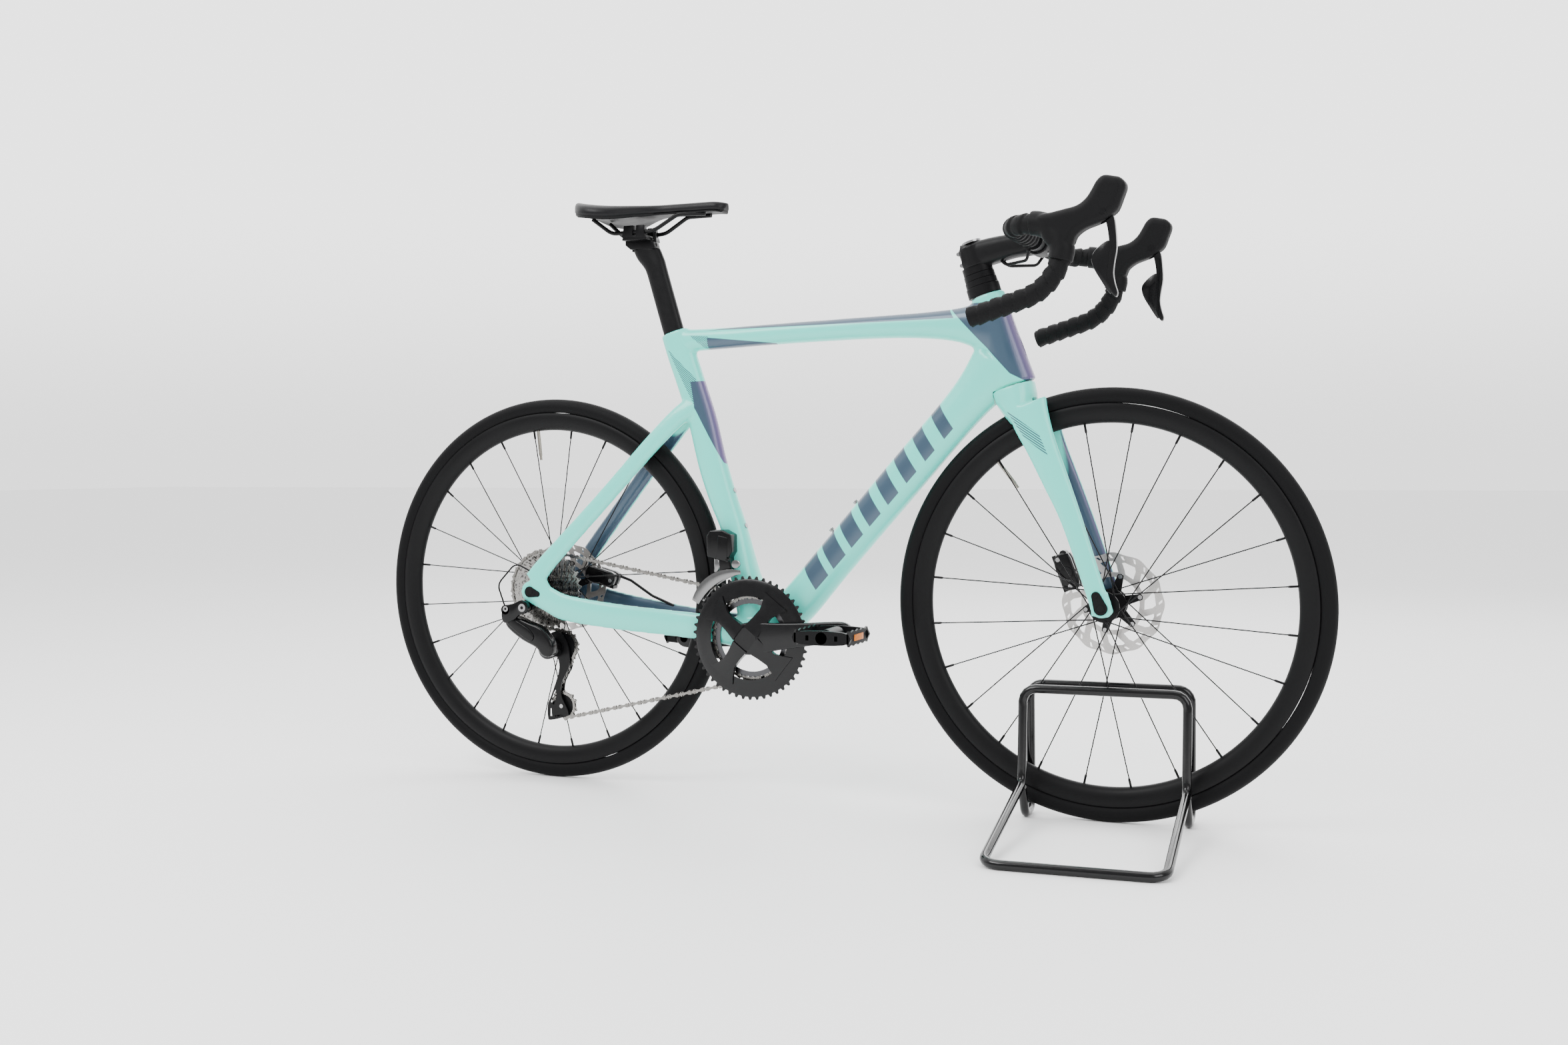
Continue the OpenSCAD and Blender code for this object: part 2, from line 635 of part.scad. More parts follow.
module valve(x, angle) {
    color(silver) translate([x, 0, axle_z]) rotate([0, -angle, 0]) rotate([0, -90, 0]) {
        translate([0, 0, -rim_inner - 2]) cylinder(h = 46, r = 3, $fn = 24);
        translate([0, 0, -rim_inner + 44]) cylinder(h = 8, r = 2.3, $fn = 24);
    }
}

// ---- drivetrain -------------------------------------------------------------
sprocket_teeth = [large_sprocket_teeth, 30, 27, 24, 21, 19, 17, 15, 14, 13, 12, 11];
module cassette() {
    color(silver) difference() {
        union() {
            for (i = [0 : len(sprocket_teeth) - 1])
                across(rear_x, axle_z, pitch_r(sprocket_teeth[i]) - 4.6,
                    sprocket_y - i * sprocket_pitch - 0.8, sprocket_y - i * sprocket_pitch + 0.8,
                    64);
            across(rear_x, axle_z, 16.5, sprocket_y - 11 * sprocket_pitch, sprocket_y + 2.5);
        }
        across(rear_x, axle_z, axle_r + running, -90, 0);
    }
}
// Chain: one closed loop over small ring, tension pulley, guide pulley and sprocket
bb = [bb_x, bb_z];
hub = [rear_x, axle_z];
guide = [guide_x, guide_z];
tens = [tension_x, tension_z];
function heading(a, b) = atan2(b[1] - a[1], b[0] - a[0]);
top_normal = heading(hub, bb) + 90 - asin((small_r - sprocket_r) / norm(bb - hub));
low_normal = heading(bb, tens) + acos((small_r - tension_r) / norm(tens - bb)) - 360;
cross_normal = heading(tens, guide) + acos((tension_r + guide_r) / norm(guide - tens));
back_normal = heading(guide, hub) - acos((guide_r + sprocket_r) / norm(hub - guide));
chain_loop = concat(arc(bb, small_ring_y, small_r, top_normal, low_normal, 16),
    arc(tens, sprocket_y, tension_r, low_normal, cross_normal - 360, 8),
    arc(guide, sprocket_y, guide_r, cross_normal - 180, back_normal, 8),
    arc(hub, sprocket_y, sprocket_r, back_normal + 180, top_normal, 18));
module chain() {
    color(silver) sweep(chain_loop, chain_half, 6, [0, 1, 0], true);
}
module crank_arm(y0, y1, side) {
    plate(y0, y1) translate([bb_x, bb_z]) rotate(side < 0 ? crank_angle : crank_angle + 180)
        difference() {
            union() {
                circle(r = side < 0 ? 26 : 21, $fn = 48);
                polygon([[0, 20], [40, 17], [crank_length, 14], [crank_length, -14], [40, -17],
                    [0, -20]]);
                translate([crank_length, 0]) circle(r = 14, $fn = 48);
            }
            translate([crank_length, 0]) circle(r = 7.1, $fn = 32);
        }
}
module crank_right() {
    color(black) {
        across(bb_x, bb_z, crank_axle_diameter / 2, -62, 56, 48);
        crank_arm(-66, -55, -1);
        plate(-55, -50.2) translate([bb_x, bb_z]) for (a = [52, 142, 232, 322]) rotate(a)
            difference() {
                hull() {
                    circle(r = 22, $fn = 32);
                    translate([55, 0]) circle(r = 8, $fn = 32);
                }
                translate([55, 0]) circle(r = 4.1, $fn = 24);
            }
        across(bb_x, bb_z, 22, -55, -bb_shell_width / 2 - 2.6, 48);
    }
}
module crank_left() {
    color(black) difference() {
        union() {
            crank_arm(53, 65, 1);
            across(bb_x, bb_z, 20, bb_shell_width / 2 + 2.6, 53, 48);
        }
        across(bb_x, bb_z, crank_axle_diameter / 2, 40, 56.02, 48);
    }
}
module chainring(radius, inner, y, tab) {
    plate(y - 1.6, y + 1.6) translate([bb_x, bb_z]) difference() {
        union() {
            difference() {
                circle(r = radius, $fn = 96);
                circle(r = inner, $fn = 64);
            }
            intersection() {
                circle(r = radius, $fn = 96);
                for (a = [52, 142, 232, 322]) rotate(a) translate([tab, 0])
                    circle(r = 9, $fn = 32);
            }
        }
        for (a = [52, 142, 232, 322]) rotate(a) translate([55, 0]) circle(r = 4.1, $fn = 24);
    }
}
module big_ring() {
    color(black) {
        chainring(big_r + 2.6, 62, big_ring_y, 55);
    }
}
module small_ring() {
    color(silver) chainring(small_r - 7.2, 48, small_ring_y - 0.6, 55);
}
module ring_bolts() {
    color(silver) translate([bb_x, 0, bb_z]) for (a = [52, 142, 232, 322]) rotate([0, -a, 0])
        across(55, 0, 4, -56, small_ring_y + 0.8, 24);
}
pedal_xr = bb_x + crank_length * cos(crank_angle);
pedal_zr = bb_z + crank_length * sin(crank_angle);
pedal_xl = bb_x - crank_length * cos(crank_angle);
pedal_zl = bb_z - crank_length * sin(crank_angle);
module pedal_spindles() {
    color(silver) for (side = [-1, 1]) {
        x = side < 0 ? pedal_xr : pedal_xl;
        z = side < 0 ? pedal_zr : pedal_zl;
        y0 = side < 0 ? -66 - pedal_width - 4 : 53;
        y1 = side < 0 ? -55 : 66 + pedal_width + 4;
        across(x, z, 5, y0, y1, 32);
        across(x, z, 7, side < 0 ? -66 : 53, side < 0 ? -55 : 65, 32);
        across(x, z, 9, side < 0 ? -70 : 65.2, side < 0 ? -66.2 : 70, 32);
    }
}
// Pedal: a barrel on the spindle and an open cage of two end plates and cross bars
module pedal(x, z, side) {
    inner = side < 0 ? -72 - pedal_width : 72;
    half = pedal_length / 2;
    color(black) difference() {
        union() {
            across(x, z, 10, inner, inner + pedal_width, 32);
            for (y = [inner, inner + pedal_width - 8]) plate(y, y + 8)
                translate([x - half, z - 11]) square([pedal_length, 22]);
            for (dx = [-half, -20, 12, half - 8]) plate(inner, inner + pedal_width)
                translate([x + dx, z - 9]) square([8, 18]);
        }
        across(x, z, 5 + running, -190, 190, 32);
    }
}
// Rear mech: base on the hanger, swinging link, knuckle, and cage with two pulleys
link_turn = atan2(knuckle_z - link_z, knuckle_x - link_x);
link_y = -84;
knuckle_y = -64;
module link_barrel(x, y, z, r, half) {
    translate([x, y, z]) rotate([0, 90 - link_turn - 90, 0]) cylinder(h = 2 * half, r = r,
        center = true, $fn = 32);
}
module link_space() hull() {
    link_barrel(link_x, link_y, link_z, 8.2, 15.6);
    link_barrel(knuckle_x, knuckle_y, knuckle_z, 8.2, 15.6);
}
module rear_mech_base() {
    color(black) difference() {
        union() {
            across(rear_x - 12, axle_z - 27, 10, link_y - 6, -dropout_y - stay_wall - 0.6, 32);
            across(rear_x - 12, axle_z - 27, 4, link_y, -dropout_y + 4, 24);
            hull() {
                across(rear_x - 12, axle_z - 27, 8, link_y - 5, link_y + 1, 32);
                across(link_x - 4, link_z + 22, 9, link_y - 5, link_y + 1, 32);
            }
            link_barrel(link_x, link_y, link_z, 3, 21);
            hull() {
                across(link_x - 4, link_z + 22, 9, link_y - 5, link_y + 1, 32);
                link_barrel(link_x + 14.5, link_y, link_z + 13.5, 7, 1.5);
            }
        }
        link_space();
    }
    color(silver) link_barrel(link_x, link_y, link_z, 3.2, 22);
}
module rear_mech_link() {
    color(black) difference() {
        hull() {
            link_barrel(link_x, link_y, link_z, 7.5, 15);
            link_barrel(knuckle_x, knuckle_y, knuckle_z, 7.5, 15);
        }
        link_barrel(link_x, link_y, link_z, 3.2 + running, 60);
        link_barrel(knuckle_x, knuckle_y, knuckle_z, 10, 60);
        across(knuckle_x, knuckle_z, 17, knuckle_y + 2.4, sprocket_y, 48);
    }
}
module rear_mech_knuckle() {
    color(dark) difference() {
        union() {
            link_barrel(knuckle_x, knuckle_y, knuckle_z, 9, 12);
            across(knuckle_x, knuckle_z, 15, knuckle_y + 4, sprocket_y - 12, 48);
        }
    }
}
cage_y = 6.5;
module cage_plate(y, bulge) {
    plate(y - 1.2, y + 1.2) difference() {
        union() {
            hull() {
                translate([knuckle_x, knuckle_z]) circle(r = 14, $fn = 32);
                translate([guide_x, guide_z]) circle(r = 15 + bulge, $fn = 32);
            }
            hull() {
                translate([guide_x - 2, guide_z - 8]) circle(r = 11, $fn = 32);
                translate([tension_x, tension_z + 30]) circle(r = 9, $fn = 32);
            }
            hull() {
                translate([tension_x, tension_z + 30]) circle(r = 9, $fn = 32);
                translate([tension_x - 22, tension_z - 24]) circle(r = 4, $fn = 32);
                translate([tension_x + 19, tension_z - 17]) circle(r = 4, $fn = 32);
            }
        }
        for (p = [guide, tens]) translate(p) circle(r = 2.2, $fn = 24);
    }
}
module rear_mech_cage() {
    color(dark) {
        for (y = [sprocket_y - cage_y, sprocket_y + cage_y]) cage_plate(y, 0);
        for (p = [guide, tens]) across(p[0], p[1], 2.2, sprocket_y - cage_y - 2,
            sprocket_y + cage_y + 1.2, 24);
        across(knuckle_x - 9, knuckle_z - 11, 3, sprocket_y - cage_y, sprocket_y + cage_y, 24);
    }
}
module pulley(p, r) {
    color(black) difference() {
        across(p[0], p[1], r - chain_half - 0.8, sprocket_y - 2, sprocket_y + 2, 48);
        across(p[0], p[1], 2.2 + running, -60, 0, 24);
    }
}
// Front mech: motor body on the seat tube and a cage that swings over the rings
fd_x = bb_x - 48;
fd_z = bb_z + 104;
module front_mech() {
    color(black) difference() {
        union() {
            plate(-44, -10) polygon([[fd_x - 32, fd_z + 68], [fd_x - 12, fd_z + 74],
                [fd_x + 6, fd_z + 70], [fd_x + 18, fd_z + 46], [fd_x + 14, fd_z + 18],
                [fd_x - 22, fd_z + 28]]);
            across(fd_x + 10, fd_z + 30, 7, -40, -10, 32);
        }
        frame_outside();
        across(rear_x, axle_z, tyre_r + wheel_room, -19, 19, 96);
        translate([fd_x - 14, -36, fd_z + 14]) cylinder(h = 16, r = 9, $fn = 32);
    }
    color(silver) translate([fd_x - 14, -36, fd_z + 16]) cylinder(h = 16, r = 3, $fn = 24);
}
// One side plate of the cage, an arc just outside the big ring
module fd_plate(y, low, high) {
    plate(y - 0.8, y + 0.8) intersection() {
        translate([bb_x, bb_z]) difference() {
            circle(r = big_r + 30, $fn = 96);
            circle(r = big_r + 5, $fn = 96);
        }
        translate([bb_x, bb_z]) polygon([[0, 0], [200 * cos(high), 200 * sin(high)],
            [200 * cos(low), 200 * sin(low)]]);
    }
}
module front_mech_cage() {
    color(silver) {
        fd_plate(-48, 150, 112);
        fd_plate(-31.3, 150, 116);
        plate(-48, -31.3) translate([bb_x, bb_z]) rotate(150) translate([big_r + 24, 0])
            square([6, 5]);
        plate(-48, -31.3) translate([bb_x, bb_z]) rotate(112) translate([big_r + 24, -5])
            square([6, 5]);
        difference() {
            translate([fd_x - 14, -36, fd_z + 2]) cylinder(h = 26, r = 6.5, $fn = 32);
            translate([fd_x - 14, -36, fd_z + 1]) cylinder(h = 60, r = 3 + running, $fn = 24);
        }
    }
}

// ---- fork, stem and handlebar ----------------------------------------------
module fork_solid() {
    left_and_right() limb([[374, -31, 639, -68, 58, 20], [397, -35, 585, -67, 47, 16],
        [437, -42, 492, -67, 36, 14], [447, -44, 470, -67, 32, 13],
        [484, -53, 366, -70, 27, 11], [front_x, -55, axle_z, -70, 28, 10]]);
    hull() {
        at_steerer(crown_height - gap - 1) cylinder(h = 1, r = crown_r, $fn = 48);
        left_and_right() slice([372, -29, 642, -68, 58, 22]);
    }
    left_and_right() across(front_x, axle_z, 14, -60, -50, 32);
}
module fork() {
    color(celeste) difference() {
        union() {
            fork_solid();
            at_steerer(crown_height - 4) cylinder(h = spacer_stack + head_tube_length + 40,
                r = steerer_r, $fn = 48);
        }
        across(front_x, axle_z, tyre_r + wheel_room, -19, 19, 96);
        across(front_x, axle_z, axle_r + 0.1, -80, -45);
        across(front_x, axle_z, axle_r + 0.1, 45, 58);
        at_steerer(crown_height - 10) cylinder(h = 400, r = steerer_r - 3, $fn = 48);
        translate([0, 25, 0]) across(front_x, axle_z, 18, -75, 25);
    }
}
module headset_spacers() {
    rings = 6;
    tall = spacer_stack / rings;
    color(black) for (i = [0 : rings - 1]) at_steerer(head_top + i * tall + (i == 0 ? 0.4 : 0.1))
        difference() {
            hull() {
                translate([-4, 0, 0]) cylinder(h = tall - (i == 0 ? 0.4 : 0.1), r = 19, $fn = 48);
                translate([6, 0, 0]) cylinder(h = tall - (i == 0 ? 0.4 : 0.1), r = 17, $fn = 48);
            }
            translate([0, 0, -1]) cylinder(h = tall + 2, r = steerer_r + 0.05, $fn = 48);
        }
}
stem_tall = 34;
module stem_outside() {
    hull() at_steerer(stem_low + 0.1) {
        translate([-2, 0, 0]) cylinder(h = stem_tall, r = 20, $fn = 32);
        translate([22, 0, 3]) cylinder(h = stem_tall + 2, r = 16, $fn = 32);
    }
    hull() {
        at_steerer(stem_low + 7) translate([20, 0, 0]) cylinder(h = stem_tall - 9, r = 14.6,
            $fn = 32);
        across(bar_x, bar_z, 20.3, -22, 22, 32);
    }
}
module stem() {
    color(black) difference() {
        stem_outside();
        at_steerer(stem_low - 10) cylinder(h = 90, r = steerer_r + 0.05, $fn = 48);
        across(bar_x, bar_z, bar_clamp_diameter / 2 + 0.02, -40, 40, 48);
    }
}
module stem_bolts() {
    color(black) {
        // Face plate bolts, then two clamp bolts behind the steerer, then the top cap
        for (y = [-15, 15]) for (z = [-17.6, 17.6]) translate([bar_x + 17, y, bar_z + z])
            rotate([0, 90, 0]) cylinder(h = 3, r = 3, $fn = 24);
        at_steerer(stem_low) for (z = [7, 26]) translate([-22.2, -9, z]) rotate([-90, 0, 0])
            cylinder(h = 18, r = 3, $fn = 24);
        at_steerer(stem_low + stem_tall + 2.2) translate([2, 0, 0]) cylinder(h = 3.3, r = 16, $fn = 48);
    }
}
half_bar = rounded(bar_route, 7);
module handlebar() {
    color(dark) {
        across(bar_x, bar_z, bar_clamp_diameter / 2, -46, 46, 48);
        sweep(half_bar, bar_r, 12);
        sweep(mirrored(half_bar), bar_r, 12, [1, -1.4, 1]);
    }
}
// Tape starts beside the clamp section and runs to the bar's end, broken by the hood
tape_path = concat([[bar_x, -62, bar_z]], [for (i = [1 : len(half_bar) - 1]) half_bar[i]]);
module bar_tape() {
    color(black) left_and_right() wrap(tape_path, tape_r, bar_r + 0.03, 12);
}
module blob(x, z, r, y = 0) {
    translate([x, -hood_y + y, z]) scale([1, 1.05, 1]) sphere(r = r, $fn = 20);
}
module hood_hulls() {
    hull() {
        blob(bar_x + 65, bar_z - 5, 20);
        blob(bar_x + 82, bar_z - 16, 18);
        blob(bar_x + 112, bar_z + 5, 17);
    }
    hull() {
        blob(bar_x + 112, bar_z + 5, 17);
        blob(bar_x + 143, bar_z + 13, 16, 1);
        blob(bar_x + 155, bar_z + 43, 16.5, 2);
    }
}
module hoods() {
    color(dark) left_and_right() {
        difference() {
            hood_hulls();
            sweep(tape_path, tape_r + 0.03, 12);
            // Slot for the lever's eye
            translate([lever_x - 10, -hood_y - 8, lever_z - 50]) cube([60, 16, 58]);
        }
        across(lever_x, lever_z, 2.5, -hood_y - 9, -hood_y + 9, 24);
    }
}
module lever_right() {
    difference() {
        union() {
            across(lever_x, lever_z, 6, -hood_y - 6, -hood_y + 6, 32);
            plate(-hood_y - 6, -hood_y + 6) polygon([[lever_x - 3, lever_z - 5],
                [lever_x + 5, lever_z + 3], [lever_x + 16, lever_z - 6],
                [lever_x + 19, lever_z - 50], [lever_x + 13, lever_z - 86],
                [lever_x + 19, lever_z - 114], [lever_x + 16, lever_z - 119],
                [lever_x + 7, lever_z - 86], [lever_x + 8, lever_z - 50],
                [lever_x + 4, lever_z - 20]]);
        }
        across(lever_x, lever_z, 2.5 + running, -hood_y - 20, -hood_y + 20, 24);
    }
}
module paddle_right() {
    // Paddle behind the blade, on a short vertical pin
    translate([lever_x + 4, -hood_y - 2.5, lever_z - 55]) cylinder(h = 12, r = 1.4, $fn = 24);
    plate(-hood_y - 4, -hood_y - 1) polygon([[lever_x + 3, lever_z - 40],
        [lever_x - 8, lever_z - 42], [lever_x - 17, lever_z - 58],
        [lever_x - 14, lever_z - 76], [lever_x + 1, lever_z - 98],
        [lever_x + 6, lever_z - 88], [lever_x + 6.5, lever_z - 52]]);
}
module brake_lever_right() {
    color(black) lever_right();
}
module brake_lever_left() {
    color(black) mirror([0, 1, 0]) lever_right();
}
module shift_paddle_right() {
    color(dark) paddle_right();
}
module shift_paddle_left() {
    color(dark) mirror([0, 1, 0]) paddle_right();
}
cockpit_route = [[bar_x - 5, -46, bar_z - 15.5, 0], [bar_x - 12, -34, bar_z - 30, 12],
    [bar_x - 52, -8, bar_z - 32, 14], [bar_x - 66, -5, bar_z - 16, 0]];
module cockpit_hoses() {
    color(black) left_and_right() difference() {
        sweep(rounded(cockpit_route, 4), 2.5, 8, [1, 1.4, -3]);
        stem_outside();
        across(bar_x, bar_z, bar_clamp_diameter / 2 + 0.1, -60, 0, 32);
    }
}

// ---- stand ------------------------------------------------------------------
tube_r = stand_tube / 2;
leg_x = stand_width / 2;
module on_stand() {
    translate([front_x, 0, 0]) rotate([0, 0, stand_turn]) translate([-1, 0, 0]) children();
}
near_top = [-34, stand_height - tube_r];
far_top = 27;
joint = [-46, 60];
stand_route = [[-leg_x, near_top[0], near_top[1], 20], [leg_x, near_top[0], near_top[1], 20],
    [leg_x, joint[0], joint[1], 18], [leg_x, -stand_reach, tube_r, 24],
    [-leg_x, -stand_reach, tube_r, 24], [-leg_x, joint[0], joint[1], 18]];
module stand_hoop() {
    color(black) on_stand() sweep(rounded_loop(stand_route, 5), tube_r, 12, [0, -1, 1], true);
}
cradle_half = [[0, far_top, near_top[1], 0], [leg_x, far_top, near_top[1], 20],
    [leg_x, 38, tube_r, 16], [leg_x, -15, tube_r, 20], [leg_x, joint[0] + 4, joint[1] - 6, 0]];
module stand_cradle() {
    color(black) on_stand() difference() {
        union() {
            sweep(rounded(cradle_half, 5), tube_r, 12, [0, 1, 1.6]);
            mirror([1, 0, 0]) sweep(rounded(cradle_half, 5), tube_r, 12, [0, 1, 1.6]);
        }
        sweep(rounded_loop(stand_route, 5), tube_r, 12, [0, -1, 1], true);
    }
}

frame();
headset_bearings();
bottom_bracket_cups();
mech_hanger();
seatpost();
saddle_clamp();
saddle_rails();
saddle_shell();
saddle_pad();
bottle_bolts();
rear_axle();
rear_caliper();
rear_brake_hose();
mech_wire();
front_mech();
front_mech_cage();
chain();
rear_mech_base();
rear_mech_link();
rear_mech_knuckle();
rear_mech_cage();
pulley(guide, guide_r);  // guide_pulley
pulley(tens, tension_r);  // tension_pulley
fork();
headset_spacers();
stem();
stem_bolts();
handlebar();
bar_tape();
hoods();
front_axle();
front_caliper();
cockpit_hoses();
brake_lever_right();
brake_lever_left();
shift_paddle_right();
shift_paddle_left();
tyre(front_x);  // front_tyre
rim(front_x);  // front_rim
wheel_spokes(front_x, -34, 24);  // front_spokes
front_hub();
bored_rotor(front_x, front_rotor_y);  // front_rotor
valve(front_x, 128);  // front_valve
tyre(rear_x);  // rear_tyre
rim(rear_x);  // rear_rim
wheel_spokes(rear_x, -19.5, 31);  // rear_spokes
rear_hub();
bored_rotor(rear_x, rear_rotor_y);  // rear_rotor
valve(rear_x, 96);  // rear_valve
cassette();
crank_right();
crank_left();
big_ring();
small_ring();
ring_bolts();
pedal_spindles();
pedal(pedal_xr, pedal_zr, -1);  // pedal_right
pedal(pedal_xl, pedal_zl, 1);  // pedal_left
stand_hoop();
stand_cradle();
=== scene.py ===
import math

import bmesh
import bpy
import numpy as np
from mathutils import Matrix, Vector


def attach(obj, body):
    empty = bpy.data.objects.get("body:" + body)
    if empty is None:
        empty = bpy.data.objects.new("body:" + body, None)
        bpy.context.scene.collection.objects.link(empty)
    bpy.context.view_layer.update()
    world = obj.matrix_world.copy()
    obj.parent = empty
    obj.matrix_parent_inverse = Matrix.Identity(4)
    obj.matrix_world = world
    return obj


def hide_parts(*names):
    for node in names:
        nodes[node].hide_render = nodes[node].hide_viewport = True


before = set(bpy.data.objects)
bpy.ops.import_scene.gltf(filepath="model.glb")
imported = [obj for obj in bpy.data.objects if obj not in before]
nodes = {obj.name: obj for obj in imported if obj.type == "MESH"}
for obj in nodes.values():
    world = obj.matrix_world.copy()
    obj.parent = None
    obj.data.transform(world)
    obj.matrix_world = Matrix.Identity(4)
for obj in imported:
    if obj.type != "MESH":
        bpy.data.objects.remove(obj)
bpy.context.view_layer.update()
MM = 0.001

# ---- Camera, floor and studio light ----
# A pale sweep of floor and an even white surround, lit by large soft panels.
camera = bpy.data.objects.new("camera", bpy.data.cameras.new("camera"))
bpy.context.scene.collection.objects.link(camera)
camera.data.lens, camera.data.sensor_width = 35.96, 36.0
yaw, pitch, roll = math.radians(22.36), math.radians(-2.16), math.radians(-0.22)
looking = Vector((-math.sin(yaw) * math.cos(pitch), math.cos(yaw) * math.cos(pitch), math.sin(pitch)))
camera.matrix_world = (Matrix.Translation((0.95194, -2.43306, 0.56015))
                       @ looking.to_track_quat("-Z", "Y").to_matrix().to_4x4() @ Matrix.Rotation(roll, 4, "Z"))
bpy.context.scene.camera = camera


class Val:
    """A number or colour inside a material, so that shader maths reads as sums."""

    def __init__(self, tree, socket):
        self.tree, self.socket = tree, socket

    def math(self, operation, *values):
        node = self.tree.nodes.new("ShaderNodeMath")
        node.operation = operation
        for socket, value in zip(node.inputs, values):
            join(self.tree, socket, value)
        return Val(self.tree, node.outputs[0])

    def __add__(self, other):
        return self.math("ADD", self, other)

    def __radd__(self, other):
        return self.math("ADD", other, self)

    def __sub__(self, other):
        return self.math("SUBTRACT", self, other)

    def __rsub__(self, other):
        return self.math("SUBTRACT", other, self)

    def __mul__(self, other):
        return self.math("MULTIPLY", self, other)

    __rmul__ = __mul__

    def __truediv__(self, other):
        return self.math("DIVIDE", self, other)

    def clamp(self):
        return self.math("MINIMUM", self.math("MAXIMUM", self, 0.0), 1.0)

    def step(self, edge, soft):
        """0 below edge and 1 above it, over a width of soft."""
        return ((self - edge) / soft + 0.5).clamp()


def join(tree, socket, value):
    if isinstance(value, Val):
        tree.links.new(value.socket, socket)
    elif isinstance(value, tuple) and socket.type == "RGBA":
        socket.default_value = (*value[:3], 1.0)
    else:
        socket.default_value = value


class Finish:
    """One material, with the nodes its pattern needs."""

    def __init__(self, name, colour, rough, metal=0.0, coat=0.0, coat_rough=0.05, shine=0.5):
        self.mat = bpy.data.materials.new(name)
        self.mat.use_nodes = True
        self.tree = self.mat.node_tree
        self.shader = self.tree.nodes["Principled BSDF"]
        self.colour = colour
        self.put(**{"Base Color": colour, "Roughness": rough, "Metallic": metal, "Coat Weight": coat,
                    "Coat Roughness": coat_rough, "Specular IOR Level": shine})

    def put(self, **values):
        for name, value in values.items():
            join(self.tree, self.shader.inputs[name], value)
        return self

    def node(self, kind, settings=None, out=0, **values):
        node = self.tree.nodes.new(kind)
        for key, value in (settings or {}).items():
            setattr(node, key, value)
        for name, value in values.items():
            key = int(name[1:]) if name[0] == "_" else name.replace("_", " ")
            join(self.tree, node.inputs[key], value)
        return Val(self.tree, node.outputs[out])

    def place(self):
        """Position on the object, as x, y and z."""
        where = self.node("ShaderNodeTexCoord", out=3)
        split = self.tree.nodes.new("ShaderNodeSeparateXYZ")
        self.tree.links.new(where.socket, split.inputs[0])
        return [Val(self.tree, split.outputs[i]) for i in range(3)]

    def facing(self):
        where = self.node("ShaderNodeNewGeometry", out=1)
        split = self.tree.nodes.new("ShaderNodeSeparateXYZ")
        self.tree.links.new(where.socket, split.inputs[0])
        return [Val(self.tree, split.outputs[i]) for i in range(3)]

    def noise(self, scale, detail=3.0, stretch=(1, 1, 1)):
        where = self.node("ShaderNodeTexCoord", out=3)
        spread = self.node("ShaderNodeMapping", Vector=where, Scale=stretch)
        return self.node("ShaderNodeTexNoise", Vector=spread, Scale=scale, Detail=detail)

    def blend(self, share, a, b):
        node = self.tree.nodes.new("ShaderNodeMix")
        node.data_type = "RGBA"
        join(self.tree, node.inputs[0], share)
        join(self.tree, node.inputs[6], a)
        join(self.tree, node.inputs[7], b)
        return Val(self.tree, node.outputs[2])

    def bump(self, height, strength=0.3, depth=0.001):
        self.put(Normal=self.node("ShaderNodeBump", Height=height, Strength=strength, Distance=depth))
        return self

    def worn(self, rough, spread, scale=60.0, tint=0.12):
        """Slight change of gloss and shade, as on any handled surface."""
        grain = self.noise(scale)
        self.put(Roughness=grain * (2 * spread) + (rough - spread))
        dark = tuple(c * (1 - tint) for c in self.colour)
        self.put(**{"Base Color": self.blend(grain, dark, self.colour)})
        return self


def panel(name, at, aim, size, power):
    light = bpy.data.objects.new(name, bpy.data.lights.new(name, "AREA"))
    light.data.shape, light.data.size, light.data.size_y, light.data.energy = "RECTANGLE", *size, power
    light.matrix_world = (Matrix.Translation(at)
                          @ (Vector(aim) - Vector(at)).to_track_quat("-Z", "Y").to_matrix().to_4x4())
    bpy.context.scene.collection.objects.link(light)


panel("key", (-1.6, -2.6, 3.4), (0, 0, 0.5), (2.6, 1.6), 150)
panel("fill", (3.2, -2.2, 2.4), (0.2, 0, 0.5), (2.4, 2.4), 85)
panel("rear", (0.2, 3.4, 2.8), (0, 0, 0.6), (3.6, 1.6), 70)
panel("top", (0, 0, 4.2), (0, 0, 0), (4.0, 3.0), 90)
world = bpy.data.worlds.new("surround")
bpy.context.scene.world = world
world.use_nodes = True
world.node_tree.nodes["Background"].inputs[0].default_value = (1, 1, 1, 1)
sky = world.node_tree
way = sky.nodes.new("ShaderNodeTexCoord")
ahead = sky.nodes.new("ShaderNodeVectorMath")
ahead.operation = "DOT_PRODUCT"
ahead.inputs[1].default_value = (-0.38, 0.92, 0.1)
glow = sky.nodes.new("ShaderNodeMapRange")
glow.inputs["From Min"].default_value, glow.inputs["From Max"].default_value = -0.25, 0.7
glow.inputs["To Min"].default_value, glow.inputs["To Max"].default_value = 0.75, 2.9
sky.links.new(way.outputs["Generated"], ahead.inputs[0])
sky.links.new(ahead.outputs["Value"], glow.inputs["Value"])
rise = sky.nodes.new("ShaderNodeSeparateXYZ")
height = sky.nodes.new("ShaderNodeMapRange")
height.interpolation_type = "SMOOTHSTEP"
height.inputs["From Min"].default_value, height.inputs["From Max"].default_value = 0.0, 0.16
height.inputs["To Min"].default_value, height.inputs["To Max"].default_value = 0.66, 1.0
power = sky.nodes.new("ShaderNodeMath")
power.operation = "MULTIPLY"
sky.links.new(way.outputs["Generated"], rise.inputs[0])
sky.links.new(rise.outputs["Z"], height.inputs["Value"])
sky.links.new(glow.outputs["Result"], power.inputs[0])
sky.links.new(height.outputs["Result"], power.inputs[1])
sky.links.new(power.outputs[0], sky.nodes["Background"].inputs[1])


